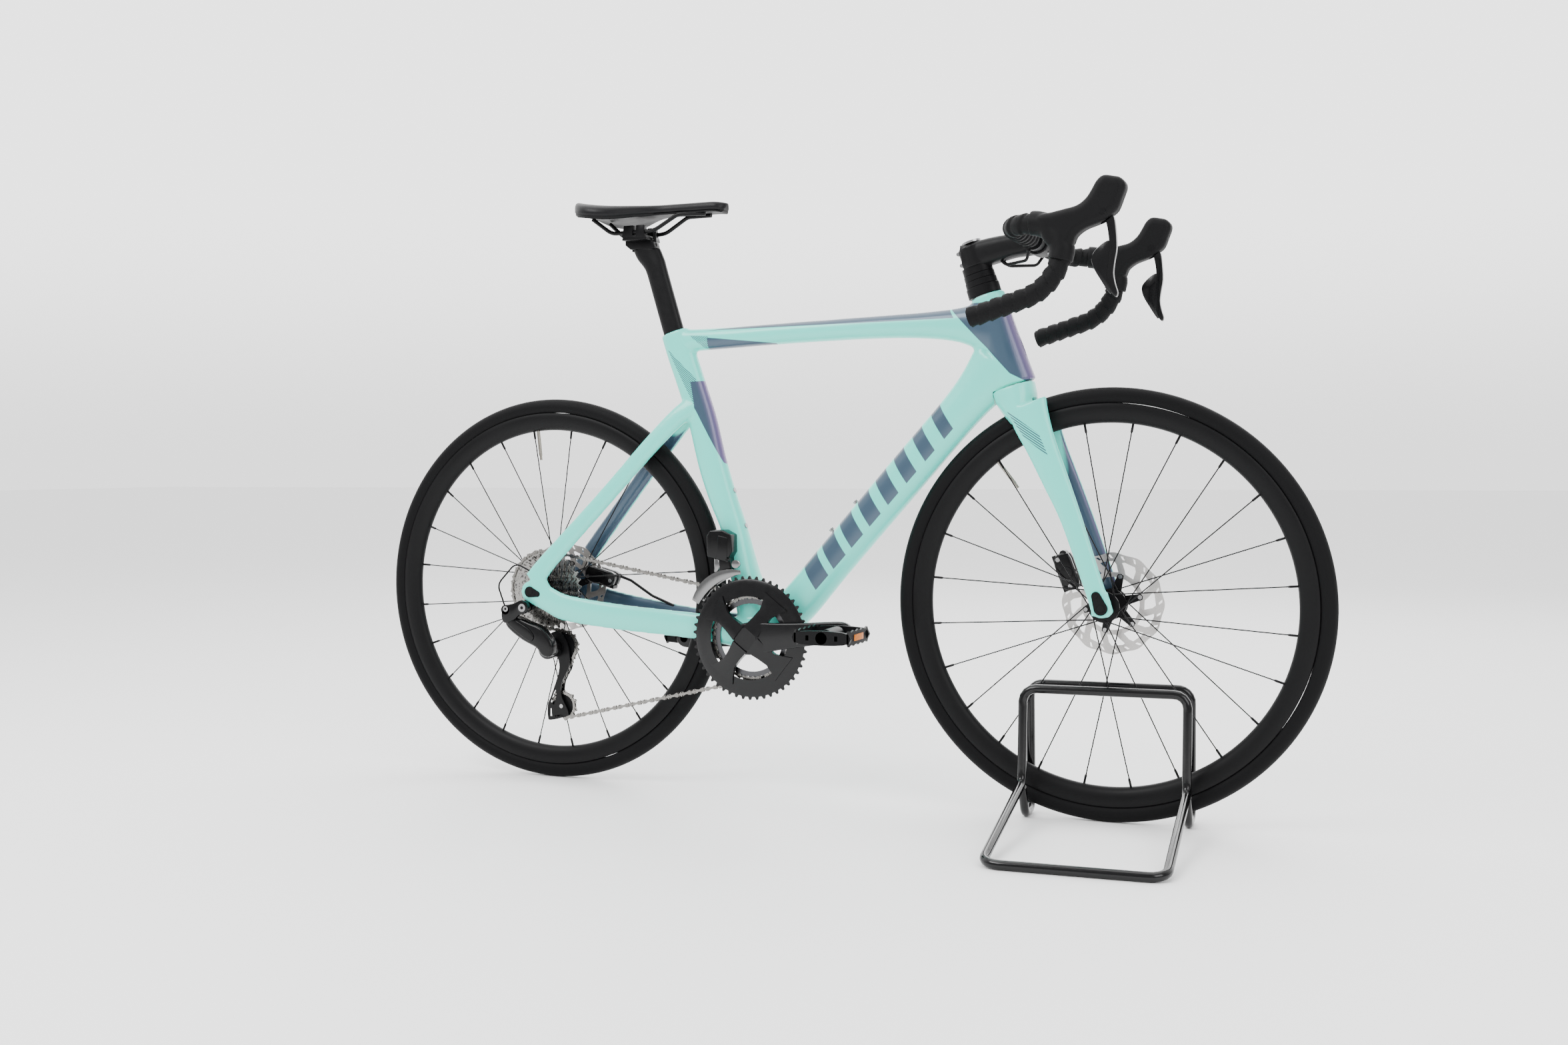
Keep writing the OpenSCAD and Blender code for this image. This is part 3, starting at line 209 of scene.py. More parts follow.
def new_object(name, verts, faces, smooth=True):
    """A mesh object from points in millimetres."""
    mesh = bpy.data.meshes.new(name)
    mesh.from_pydata([tuple(c * MM for c in v) for v in verts], [], faces)
    mesh.validate()
    if smooth:
        mesh.shade_smooth()
    obj = bpy.data.objects.new(name, mesh)
    bpy.context.scene.collection.objects.link(obj)
    return obj


floor = new_object("floor", [(-30000, -30000, 0), (30000, -30000, 0), (30000, 30000, 0), (-30000, 30000, 0)],
                   [(0, 1, 2, 3)])
floor_paint = Finish("studio_floor", (0.93, 0.93, 0.93), 0.6)
floor_paint.put(Roughness=floor_paint.noise(3) * 0.1 + 0.5)
floor.data.materials.append(floor_paint.mat)


# ---- Frame ----
# One-piece carbon frame with deep tubes blended at the joints, in pale turquoise paint with slate wedges.
# The tubes are lofted through their sections, fused into one skin and smoothed where they meet.
def curve_through(rows, per=8):
    """Rows of numbers with smooth steps between them."""
    rows = [np.array(r, float) for r in rows]
    rows = [2 * rows[0] - rows[1], *rows, 2 * rows[-1] - rows[-2]]
    out = []
    for i in range(1, len(rows) - 2):
        a, b, c, d = rows[i - 1:i + 3]
        for k in range(per):
            t = k / per
            out.append(0.5 * (2 * b + (c - a) * t + (2 * a - 5 * b + 4 * c - d) * t * t
                              + (3 * b - a - 3 * c + d) * t ** 3))
    return out + [rows[-2]]


def oval(row, count=36, power=2.3):
    """Ring of points round one section: x, y, z, direction in degrees, depth, width."""
    x, y, z, turn, depth, width = row[:6]
    up = np.array((-math.sin(math.radians(turn)), 0, math.cos(math.radians(turn))))
    ring = []
    for k in range(count):
        c, s = math.cos(2 * math.pi * k / count), math.sin(2 * math.pi * k / count)
        u = math.copysign(abs(c) ** (2 / power), c) * depth / 2
        w = math.copysign(abs(s) ** (2 / power), s) * width / 2
        ring.append(np.array((x, y, z)) + up * u + np.array((0, w, 0)))
    return ring


def skin(rings, closed=False):
    """Points and faces of a surface over rings of equal count, with capped ends."""
    n = len(rings[0])
    verts = [p for ring in rings for p in ring]
    spans = len(rings) if closed else len(rings) - 1
    faces = [(i * n + k, i * n + (k + 1) % n, (i + 1) % len(rings) * n + (k + 1) % n,
              (i + 1) % len(rings) * n + k) for i in range(spans) for k in range(n)]
    if not closed:
        faces += [tuple(range(n))[::-1], tuple(range((len(rings) - 1) * n, len(rings) * n))]
    return verts, faces


def tube_loft(rows, per=8, power=2.3):
    return skin([oval(r, power=power) for r in curve_through(rows, per)])


def mirror_loft(part):
    verts, faces = part
    return [(x, -y, z) for x, y, z in verts], [f[::-1] for f in faces]


def drum(a, b, radius, radius_b=None, count=48):
    """Cylinder or cone from point a to point b."""
    a, b = Vector(a), Vector(b)
    t = (b - a).normalized()
    u = t.orthogonal().normalized()
    v = t.cross(u)
    rings = [[p + (u * math.cos(2 * math.pi * k / count) + v * math.sin(2 * math.pi * k / count)) * r
              for k in range(count)] for p, r in ((a, radius), (b, radius if radius_b is None else radius_b))]
    return skin(rings)


def together(name, parts, smooth=True):
    verts, faces = [], []
    for part in parts:
        faces += [tuple(i + len(verts) for i in f) for f in part[1]]
        verts += [tuple(map(float, v)) for v in part[0]]
    return new_object(name, verts, faces, smooth)


def outward(obj):
    bm = bmesh.new()
    bm.from_mesh(obj.data)
    bmesh.ops.remove_doubles(bm, verts=bm.verts, dist=1e-6)
    bmesh.ops.recalc_face_normals(bm, faces=bm.faces)
    bm.to_mesh(obj.data)
    bm.free()
    return obj


def applied(obj):
    """Turns the object with its modifiers into a plain mesh."""
    bpy.context.view_layer.update()
    mesh = bpy.data.meshes.new_from_object(obj.evaluated_get(bpy.context.evaluated_depsgraph_get()))
    obj.modifiers.clear()
    obj.data = mesh
    return obj


def fused(name, parts, voxel, rounds, cuts=()):
    """Joins closed parts into one skin, cuts it, and softens the joints."""
    obj = outward(together(name, parts))
    remesh = obj.modifiers.new("skin", "REMESH")
    remesh.mode, remesh.voxel_size = "VOXEL", voxel * MM
    soften = obj.modifiers.new("soften", "SMOOTH")
    soften.factor, soften.iterations = 0.5, rounds
    tools = [outward(together(name + "_cut", [cut])) for cut in cuts]
    for tool in tools:
        cut = obj.modifiers.new("cut", "BOOLEAN")
        cut.object, cut.operation, cut.solver = tool, "DIFFERENCE", "EXACT"
    applied(obj)
    for tool in tools:
        bpy.data.objects.remove(tool)
    obj.data.shade_smooth()
    return obj


def crisp(obj, angle=35):
    """Smooth shading, broken at edges sharper than angle."""
    bm = bmesh.new()
    bm.from_mesh(obj.data)
    for face in bm.faces:
        face.smooth = True
    for edge in bm.edges:
        edge.smooth = len(edge.link_faces) == 2 and edge.calc_face_angle(0) < math.radians(angle)
    bm.to_mesh(obj.data)
    bm.free()
    return obj


def finish_piece(obj, body, slot, finish, *stands_for):
    obj.data.materials.clear()
    obj.data.materials.append(finish.mat)
    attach(obj, body)
    if stands_for:
        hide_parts(*stands_for)
    return obj


SLATE, PLUM_SHEEN, CELESTE = (0.035, 0.070, 0.110), (0.13, 0.085, 0.22), (0.090, 0.72, 0.60)
AXLE = 338
REAR, FRONT = -494.5, 494.5
BB = (-91.6, 269.4)
HEAD = math.radians(73)


def steer(t, out=0.0):
    """Point on the steering axis at height t, moved out in front of it."""
    return (452.42 - t * math.cos(HEAD) + out * math.sin(HEAD), 0, 325.14 + t * math.sin(HEAD)
            + out * math.cos(HEAD))


def wedge(finish, points, soft=0.0008):
    """1 inside a convex outline in X and Z, given in millimetres."""
    x, _, z = finish.place()
    area = sum(p[0] * q[1] - q[0] * p[1] for p, q in zip(points, points[1:] + points[:1]))
    if area < 0:
        points = points[::-1]
    mask = None
    for p, q in zip(points, points[1:] + points[:1]):
        dx, dz = q[0] - p[0], q[1] - p[1]
        size = math.hypot(dx, dz)
        nx, nz = -dz / size, dx / size
        side = (x * nx + z * nz).step((p[0] * nx + p[1] * nz) * MM, soft)
        mask = side if mask is None else mask * side
    return mask


def hatch(finish, along, pitch):
    """Fine stripes across a direction in X and Z."""
    x, _, z = finish.place()
    run = (x * math.cos(along) + z * math.sin(along)) / (pitch * MM)
    return run.math("FRACT", run).step(0.5, 0.15)


def celeste_paint(name, wedges, lined, inner_from):
    paint = Finish(name, CELESTE, 0.32, coat=0.35, coat_rough=0.12)
    nx, ny, _ = paint.facing()
    _, y, _ = paint.place()
    slate = None
    for outline in wedges:
        mask = wedge(paint, outline)
        slate = mask if slate is None else slate.math("MAXIMUM", slate, mask)
    for outline, along, pitch in lined:
        mask = wedge(paint, outline) * hatch(paint, along, pitch)
        slate = slate.math("MAXIMUM", slate, mask)
    # The inner faces of the stays and legs are slate too
    inner = ((y.step(inner_from, 0.002) * (0 - ny).step(0.5, 0.3))
             + ((0 - y).step(inner_from, 0.002) * ny.step(0.5, 0.3))).clamp()
    slate = slate.math("MAXIMUM", slate, inner)
    # Painted sheen: slate areas turn plum on faces that point forward, a fixed colour standing in for the paint's
    # colour shift with viewing angle
    slate_plum_sheen = paint.blend(nx.step(0.62, 0.7), SLATE, PLUM_SHEEN)
    shade = paint.blend(paint.noise(9) * 0.25, CELESTE, tuple(c * 0.93 for c in CELESTE))
    paint.put(**{"Base Color": paint.blend(slate, shade, slate_plum_sheen), "Metallic": slate * 0.25,
                 "Roughness": paint.noise(30) * 0.05 + 0.31})
    return paint


bars = []
for k in range(8):
    low = 0.015 + 0.118 * k
    wide = 0.084 - 0.004 * k
    a, b = np.array((-4.0, 362.0)), np.array((262.0, 661.0))
    across = np.array((-0.745, 0.667))
    along = (b - a) / np.linalg.norm(b - a)
    size = np.linalg.norm(b - a)
    corner = [a + along * size * low - across * 23.5, a + along * size * (low + wide) - across * 23.5,
              a + along * (size * (low + wide) + 13) + across * 23.5,
              a + along * (size * low + 13) + across * 23.5]
    bars.append([tuple(map(float, c)) for c in corner])
frame_paint = celeste_paint("frame_paint", [
    [(236, 815), (300, 812), (352, 806), (440, 668), (392, 676), (344, 700)],
    [(-192, 786), (236, 816), (252, 790), (60, 788), (-73, 787)],
    [(-182, 774), (-57, 761), (-60, 755), (-182, 750)],
    [(-214, 700), (-188, 702), (-143, 552), (-156, 562), (-206, 655)], *bars],
    [([(-258, 757), (-206, 707), (-176, 640), (-152, 566), (-218, 680)], math.radians(52), 2.6),
     ([(-216, 779), (-180, 776), (-180, 750)], math.radians(40), 2.3)], 0.016)
down = [(322, 0, 716, 48, 96, 48), (268, 0, 654, 48, 68, 48), (160, 0, 533, 48, 66, 50),
        (40, 0, 397, 48, 65, 51), (-30, 0, 318, 48, 67, 55), (-88, 0, 276, 46, 62, 76)]
seat = [(-250, 0, 787, 107, 50, 31), (-236, 0, 744, 107, 50, 32), (-217, 0, 690, 107, 49, 32),
        (-198, 0, 632, 108, 50, 33), (-180, 0, 560, 109, 50, 34), (-160, 0, 500, 108, 47, 36),
        (-139, 0, 445, 107, 43, 40), (-119, 0, 368, 105, 48, 54), (-95, 0, 288, 100, 60, 74)]
top = [(-243, 0, 771, 1, 37, 28), (-160, 0, 773, 1, 34, 33), (-40, 0, 777.5, 2, 33, 36),
       (100, 0, 781.5, 2, 35, 37), (190, 0, 782, 2, 40, 38), (250, 0, 780, 5, 52, 41),
       (286, 0, 775, 10, 74, 45), (312, 0, 772, 14, 92, 45)]
seat_stay = [(-212, -8, 661, 58, 34, 20), (-238, -17, 640, 52, 30, 18), (-282, -29, 594, 50, 28, 14),
             (-372, -47, 494, 49, 27, 13), (-462, -69, 394, 49, 30, 12), (-490, -77, 356, 50, 36, 11)]
chain_stay = [(-492, -77, 337, -10, 38, 11), (-462, -76.5, 326, -15, 42, 11), (-425, -74, 311, -15, 43, 12),
              (-330, -57, 297, -9, 42, 14), (-232, -34, 287, -6, 42, 14), (-165, -30, 281, -5, 44, 16),
              (-100, -27, 273, 0, 50, 26)]
for rows, extra in ((down, 0.8), (seat, 1.6), (top, 1.8), (seat_stay, 3.2), (chain_stay, 3.2)):
    rows[:] = [(*r[:4], r[4] + extra, r[5] + extra) for r in rows]
head_tube = []
for t, lead, deep, wide in ((372, 5, 66, 52), (410, 5, 60, 50), (470, 4, 55, 48), (522.6, 3, 54, 47)):
    x, _, z = steer(t, lead)
    head_tube.append((x, 0, z, 107, deep, wide))
dropout = [drum((REAR, -71, AXLE), (REAR, -82, AXLE), 19), drum((-478, -71, 345), (-478, -82, 345), 19),
           drum((-466, -71, 327), (-466, -82, 327), 16)]
stays = [tube_loft(seat_stay), tube_loft(chain_stay), *dropout]
frame_skin = fused("frame_skin", [tube_loft(down), tube_loft(seat), tube_loft(top), tube_loft(head_tube),
                                  drum((BB[0], -43, BB[1]), (BB[0], 43, BB[1]), 29), *stays,
                                  *[mirror_loft(s) for s in stays]], 2.9, 9,
                   [drum((REAR, -19, AXLE), (REAR, 19, AXLE), 343, count=128),
                    drum(steer(300), steer(340), 41), drum(steer(330), steer(371.2), 35.6, count=96)])


def slab(outline, y0, y1):
    """Outline in X and Z carried from y0 to y1."""
    return skin([[(x, y, z) for x, z in outline] for y in (y0, y1)])


def smooth_outline(points, per=5):
    rows = [np.array(p, float) for p in points]
    n = len(rows)
    out = []
    for i in range(n):
        a, b, c, d = rows[i - 1], rows[i], rows[(i + 1) % n], rows[(i + 2) % n]
        for k in range(per):
            t = k / per
            out.append(tuple(0.5 * (2 * b + (c - a) * t + (2 * a - 5 * b + 4 * c - d) * t * t
                                    + (3 * b - a - 3 * c + d) * t ** 3)))
    return out


def pillow(outline, y0, y1, edge, steps=4):
    """Outline carried from y0 to y1, with its rims rounded by edge."""
    n = len(outline)
    area = sum(outline[i - 1][0] * outline[i][1] - outline[i][0] * outline[i - 1][1] for i in range(n))
    way = 1 if area > 0 else -1
    inward = []
    for i in range(n):
        dx, dz = (outline[(i + 1) % n][k] - outline[i - 1][k] for k in (0, 1))
        size = math.hypot(dx, dz) or 1
        inward.append((-dz / size * way, dx / size * way))
    side = 1 if y1 > y0 else -1
    rings = [(y0 + side * edge * (1 - math.cos(math.pi / 2 * k / steps)),
              edge * (1 - math.sin(math.pi / 2 * k / steps))) for k in range(steps + 1)]
    far = [(y0 + y1 - y, g) for y, g in rings[::-1]]
    return skin([[(p[0] + q[0] * g, y, p[1] + q[1] * g) for p, q in zip(outline, inward)] for y, g in rings + far])


tab = [pillow([(-217, 616), (-206, 619), (-199, 594), (-209, 591)], -8, 8, 2)]
finish_piece(frame_skin, "frame", "celeste_paint", frame_paint, "frame")
trim = Finish("black_trim", (0.004, 0.004, 0.0045), 0.35, shine=0.15).worn(0.35, 0.08)
finish_piece(crisp(outward(together("port_cover", tab))), "frame", "black_alloy", trim)
metal_bolt = Finish("bolt_steel", (0.36, 0.36, 0.365), 0.25, metal=1.0).worn(0.25, 0.06, 300)


def cad_finish(finish, *names):
    for name in names:
        obj = nodes[name]
        for i in range(len(obj.data.materials)):
            obj.data.materials[i] = finish.mat
        if not obj.data.materials:
            obj.data.materials.append(finish.mat)


cad_finish(metal_bolt, "bottle_bolts", "headset_bearings")
cad_finish(trim, "bottom_bracket_cups", "mech_hanger")

# ---- Fork ----
# Carbon fork with two deep blades and a round crown that closes up against the head tube.
# Slate on the inner faces of the blades, with a patch of fine lines on the outer face.
fork_paint = celeste_paint("fork_paint", [[(300, 900), (310, 900), (310, 910)]],
                           [([(341, 642), (372, 598), (410, 570), (395, 604)], math.radians(57), 3.2)], 0.03)
blade = [(374, -29, 652, -68, 60, 22), (380, -32, 626, -67.5, 58, 19), (397, -35.5, 585, -67, 47, 16),
         (420, -39, 533, -67, 40, 14.5), (447, -44, 470, -67, 32, 13), (484, -53, 366, -70, 29, 12.5),
         (494, -55, 341, -72, 32, 12)]
blade = [(*r[:4], r[4] + 2, r[5] + 2) for r in blade]
blades = [tube_loft(blade), drum((FRONT, -50.4, AXLE), (FRONT, -60, AXLE), 15),
          skin([[(x, y, z) for x, z in ((480, 326), (505, 324), (513, 333), (504, 362), (478, 352))]
                for y in (-50.4, -60)])]
crown = []
for t, deep, wide in ((312, 34, 80), (330, 52, 80), (350, 65, 75), (370.4, 69, 69)):
    x, _, z = steer(t)
    crown.append(oval((x, 0, z, 107, deep, wide), 48, 2.2))
crown = skin(crown)
fork_skin = fused("fork_skin", [*blades, *[mirror_loft(b) for b in blades], crown], 2.0, 9,
                  [drum((FRONT, -18.5, AXLE), (FRONT, 18.5, AXLE), 343, count=128)])
finish_piece(fork_skin, "fork_and_bar", "celeste_paint", fork_paint, "fork")

# ---- Thru axles ----
# Black threaded axles clamp both hubs; a small screw locks a teardrop cover at the drive side.
alloy = Finish("black_alloy", (0.004, 0.004, 0.0045), 0.38, shine=0.14).worn(0.38, 0.06, 160, 0.15)
axle_black = Finish("axle_black", (0.003, 0.003, 0.0035), 0.3, shine=0.14).worn(0.3, 0.08, 200)
cad_finish(axle_black, "front_axle", "rear_axle")
for word, body, cx, y, turn, reach in (("front", "fork_and_bar", FRONT, 62.4, 111, 20),
                                       ("rear", "frame", REAR, 84.4, -12, 16)):
    a = math.radians(turn)
    screws = [drum((cx, -y, AXLE), (cx, -y - 0.9, AXLE), 6.2, 5.6, 40),
              drum((cx + reach * math.cos(a), -y, AXLE + reach * math.sin(a)),
                   (cx + reach * math.cos(a), -y - 0.7, AXLE + reach * math.sin(a)), 3, 2.6, 24)]
    finish_piece(crisp(outward(together(word + "_axle_screws", screws))), body, "black_alloy", alloy)

# ---- Headset spacers and stem ----
# Moulded oval spacers carry the stem, a deep black alloy block with its clamp bolts at the back.
carbon = Finish("satin_carbon", (0.0035, 0.0035, 0.004), 0.36, shine=0.16).worn(0.42, 0.08, 90, 0.2)


def stack_ring(t0, t1, deep, wide, shift):
    rows = []
    for t, grow in ((t0, -0.5), (t0 + 0.5, 0), (t1 - 0.5, 0), (t1, -0.5)):
        x, _, z = steer(t, shift)
        rows.append(oval((x, 0, z, 107, deep + 2 * grow, wide + 2 * grow), 64, 2.0))
    return skin(rows)


steps = (0, 16, 26, 36, 49.2)
spacers = [stack_ring(523.6 + low, 523.6 + high - 0.35, 54 - 0.15 * low, 41 - 0.08 * low, -1)
           for low, high in zip(steps, steps[1:])]
finish_piece(crisp(outward(together("headset_spacers_look", spacers))), "fork_and_bar", "black_alloy", alloy,
             "headset_spacers")
stem_rows = [(262, 0, 886, 9, 41, 33), (270, 0, 886.5, 9, 42, 38), (292, 0, 891, 8, 43, 40),
             (318, 0, 896.5, 6, 41, 42), (345, 0, 901, 3, 37, 43), (372, 0, 903, 0, 36, 44)]
stem_skin = fused("stem_look", [tube_loft(stem_rows, power=3.2), drum((385, -22.5, 903), (385, 22.5, 903), 20),
                                drum(steer(571), steer(604, -1), 21.5)], 1.6, 3,
                  [drum((385, -40, 903), (385, 40, 903), 15.95, count=64)])
finish_piece(stem_skin, "fork_and_bar", "black_alloy", carbon, "stem")
cad_finish(metal_bolt, "stem_bolts")


# ---- Handlebar and tape ----
# Round drop bar, thick at the stem, wrapped from beside the clamp to its ends in overlapping tape.
def rounded(points, per=10):
    """Polyline of (x, y, z, corner radius) with its corners turned into arcs."""
    out = [Vector(points[0][:3])]
    for before, here, after in zip(points, points[1:], points[2:]):
        p0, p1, p2, radius = Vector(before[:3]), Vector(here[:3]), Vector(after[:3]), here[3]
        u, v = (p0 - p1).normalized(), (p2 - p1).normalized()
        inner = u.angle(v)
        turn = math.pi - inner
        reach = radius / math.tan(inner / 2)
        centre = p1 + (u + v).normalized() * radius / math.sin(inner / 2)
        a, b = p1 + u * reach - centre, p1 + v * reach - centre
        for i in range(per + 1):
            out.append(centre + (a * math.sin(turn * (1 - i / per)) + b * math.sin(turn * i / per))
                       / math.sin(turn))
    return out + [Vector(points[-1][:3])]


def even(path, step):
    """The path cut into equal lengths."""
    gaps = [0.0]
    for a, b in zip(path, path[1:]):
        gaps.append(gaps[-1] + (b - a).length)
    count = max(2, int(gaps[-1] / step))
    out, j = [], 0
    for i in range(count + 1):
        s = gaps[-1] * i / count
        while j < len(gaps) - 2 and gaps[j + 1] < s:
            j += 1
        share = (s - gaps[j]) / max(gaps[j + 1] - gaps[j], 1e-9)
        out.append(path[j].lerp(path[j + 1], share))
    return out


def pipe(path, radius, count=16, closed=False, shape=None):
    """Round tube along a path; shape(s, angle) gives a radius that changes."""
    n = len(path)
    side, rings, run = None, [], 0.0
    for i, p in enumerate(path):
        t = ((path[(i + 1) % n] - path[i - 1]) if closed else (path[min(i + 1, n - 1)] - path[max(i - 1, 0)]))
        t = t.normalized()
        side = t.orthogonal().normalized() if side is None else (side - t * side.dot(t)).normalized()
        up = t.cross(side)
        if i:
            run += (p - path[i - 1]).length
        ring = []
        for k in range(count):
            a = 2 * math.pi * k / count
            r = shape(run, a) if shape else radius
            ring.append(p + (side * math.cos(a) + up * math.sin(a)) * r)
        rings.append(ring)
    return skin(rings, closed)


BAR_ROUTE = [(385, 0, 903, 0), (385, -199, 903, 42), (469, -209, 904, 46), (465, -212, 811, 78),
             (333, -215, 771, 0)]
half_bar = rounded(BAR_ROUTE)
bar_parts = [drum((385, -46, 903), (385, 46, 903), 15.9, count=64)]
for side in (1, -1):
    half = [Vector((p.x, p.y * side, p.z)) for p in half_bar]
    bar_parts.append(pipe(even(half, 8), 11.9, 32))
finish_piece(crisp(outward(together("handlebar_look", bar_parts))), "fork_and_bar", "carbon_satin", carbon,
             "handlebar")


def wrapped(s, a):
    lap = (s / 18.5 + a / (2 * math.pi)) % 1.0
    mark = 0.6 if 0.25 < lap < 0.7 and math.sin(3 * a + 1.3 * math.sin(s / 5)) > 0.86 else 0
    return 13.1 + 2.7 * min(lap / 0.9, (1 - lap) / 0.1) ** 0.7 + mark


tape_paint = Finish("cork_tape", (0.0045, 0.0045, 0.005), 0.55, shine=0.12)
tape_paint.worn(0.62, 0.1, 260, 0.35).bump(tape_paint.noise(700, 5), 0.35, 0.0006)
tape_parts = []
for side in (1, -1):
    start = [Vector((385, -62, 903))] + half_bar[1:]
    last = (half_bar[-1] - half_bar[-2]).normalized()
    path = even([Vector((p.x, p.y * side, p.z)) for p in start], 1.6)
    tape_parts.append(pipe(path, 15, 44, shape=wrapped))
    end = Vector((333, -215 * side, 771))
    last = Vector((last.x, last.y * side, last.z))
    tape_parts.append(drum(end - last * 2, end + last * 2.2, 14.2, 12.5, 40))
finish_piece(crisp(outward(together("bar_tape_look", tape_parts)), 50), "fork_and_bar", "bar_tape", tape_paint,
             "bar_tape")

# ---- Hoods, brake levers and shift paddles ----
# Soft rubber hoods over hydraulic lever bodies; black levers hang from a cross pin in front.
hood_rubber = Finish("hood_rubber", (0.004, 0.004, 0.0045), 0.5, shine=0.12)
hood_rubber.worn(0.55, 0.07, 200, 0.2).bump(hood_rubber.noise(900, 2), 0.12, 0.0004)


HOOD = [(432, 911), (452, 915.6), (472, 919.5), (489.5, 923.6), (502, 933), (510, 945), (516.5, 956), (526, 963),
        (540, 961), (550.6, 957.6), (558, 947), (553, 930), (546, 913), (536, 905), (526.5, 898.5), (514, 894),
        (500, 889), (488, 880), (482, 868), (464, 866), (446, 870), (437, 886)]
hood_parts = [pillow(smooth_outline(HOOD, 3), -190.5, -225.5, 10), pipe(even(half_bar[12:26], 4), 18, 32)]
hood_skin = fused("hoods_look", hood_parts + [mirror_loft(p) for p in hood_parts], 1.5, 6,
                  [skin([[(x, s * y, z) for x, z in ((524, 905), (600, 905), (600, 880), (512, 880))]
                         for y in (199.5, 216.5)]) for s in (-1, 1)])
finish_piece(hood_skin, "fork_and_bar", "hood_rubber", hood_rubber, "hoods")
screws = [drum((527, y * s, 911), (527, (y + 1.2) * s, 911), 4.6, 4.2, 32) for s in (-1, 1) for y in (188.6, 224.6)]
finish_piece(crisp(outward(together("lever_pins", screws))), "fork_and_bar", "black_alloy", trim)
lever_black = Finish("lever_black", (0.002, 0.002, 0.0025), 0.14, shine=0.35).worn(0.18, 0.05, 120, 0.1)


def bevelled(obj, width, segments=2):
    outward(obj)
    edge = obj.modifiers.new("edge", "BEVEL")
    edge.width, edge.segments, edge.limit_method = width * MM, segments, "ANGLE"
    edge.angle_limit = math.radians(28)
    applied(obj)
    return crisp(obj, 40)


LEVER = [(523, 912), (527, 917.5), (533, 914), (540, 905), (543, 884), (544, 861), (541, 842), (539.5, 826),
         (542, 811), (545.5, 799), (543, 792.5), (537, 799), (532, 812), (531, 826), (533, 845), (534, 862),
         (532, 884), (528, 902)]
PADDLE = [(532, 872), (521, 866), (509, 852), (511, 836), (521, 818), (535, 797), (536, 806), (531.5, 826),
          (534, 848), (535, 866)]
for side, word in ((-1, "right"), (1, "left")):
    y = 207 * side
    lever = together("brake_lever_%s_look" % word, [slab(smooth_outline(LEVER, 3), y - 5.2, y + 5.2)])
    finish_piece(bevelled(lever, 1.6, 3), "brake_lever_" + word, "lever_black", lever_black, "brake_lever_" + word)
    y = 209.5 * side
    paddle = together("shift_paddle_%s_look" % word, [slab(smooth_outline(PADDLE, 3), y - 1.3, y + 1.3)])
    finish_piece(bevelled(paddle, 0.7), "shift_paddle_" + word, "lever_black", lever_black, "shift_paddle_" + word)

# ---- Seatpost and saddle ----
# Aero carbon post with a two-bolt head; the saddle is a padded shell on round rails.
lean = math.radians(16.7)
post_rows = [(-253 - s * math.sin(lean) - back, 0, 789 + s * math.cos(lean), turn, deep, 23)
             for s, back, turn, deep in ((-95, 0, 106.7, 38), (0, 0, 106.7, 38), (70, 0, 106.7, 38), (110, 0, 106.5, 38.5),
                                         (122, 1.5, 102, 42), (132, 5, 96, 48), (142, 7, 91, 51), (150, 7.5, 90, 50))]
post_skin = fused("seatpost_look", [tube_loft(post_rows, power=2.2)],
                  1.6, 3)
finish_piece(post_skin, "saddle_group", "carbon_satin", carbon, "seatpost")
clamp_parts = [slab([(-330, 931), (-283, 931), (-286, 943), (-300, 949), (-340, 949), (-340, 939)], -11, 11),
               slab([(-338, 945), (-291, 945), (-293, 953), (-336, 953)], -27, 27)]
for side in (-1, 1):
    clamp_parts.append(slab([(-338, 950), (-318, 950), (-316, 970), (-334, 970)], side * 14.5, side * 27.5))
    clamp_parts.append(slab([(-312, 950), (-294, 950), (-296, 970), (-310, 970)], side * 14.5, side * 27.5))
for x, z in ((-327, 934), (-288, 941)):
    clamp_parts.append(drum((x, 0, z - 5), (x, 0, 968), 2.8, count=20))
    clamp_parts.append(drum((x, 0, z - 6), (x, 0, z), 5, count=6))
finish_piece(bevelled(together("saddle_clamp_look", clamp_parts), 0.8), "saddle_group", "black_alloy", alloy,
             "saddle_clamp")
RAIL = [(-392, -32, 984, 0), (-360, -22, 958.5, 24), (-279, -22, 959, 40), (-234, -19, 985, 24),
        (-186, -12, 984, 0)]
rail_parts = [pipe(even([Vector((p.x, p.y * s, p.z)) for p in rounded(RAIL)], 4), 3.5, 20) for s in (1, -1)]
finish_piece(crisp(outward(together("saddle_rails_look", rail_parts))), "saddle_group", "carbon_satin", trim,
             "saddle_rails")


def saddle_half(s):
    if s < 0.2:
        return 73 * math.sqrt(max(0.0, 1 - ((0.2 - s) / 0.2012) ** 2))
    if s < 0.62:
        return 73 * (0.27 + 0.73 * (0.5 + 0.5 * math.cos(math.pi * (s - 0.2) / 0.42)))
    if s < 0.93:
        return 73 * 0.27
    return 73 * 0.27 * math.sqrt(max(0.0, 1 - ((s - 0.93) / 0.0702) ** 2))


def saddle_top(s):
    return (1004 + 15 * max(0, (0.35 - s) / 0.35) ** 2 - 3.5 * max(0, (s - 0.9) / 0.1) ** 2
            - 6 * max(0, (0.04 - s) / 0.04) ** 2)


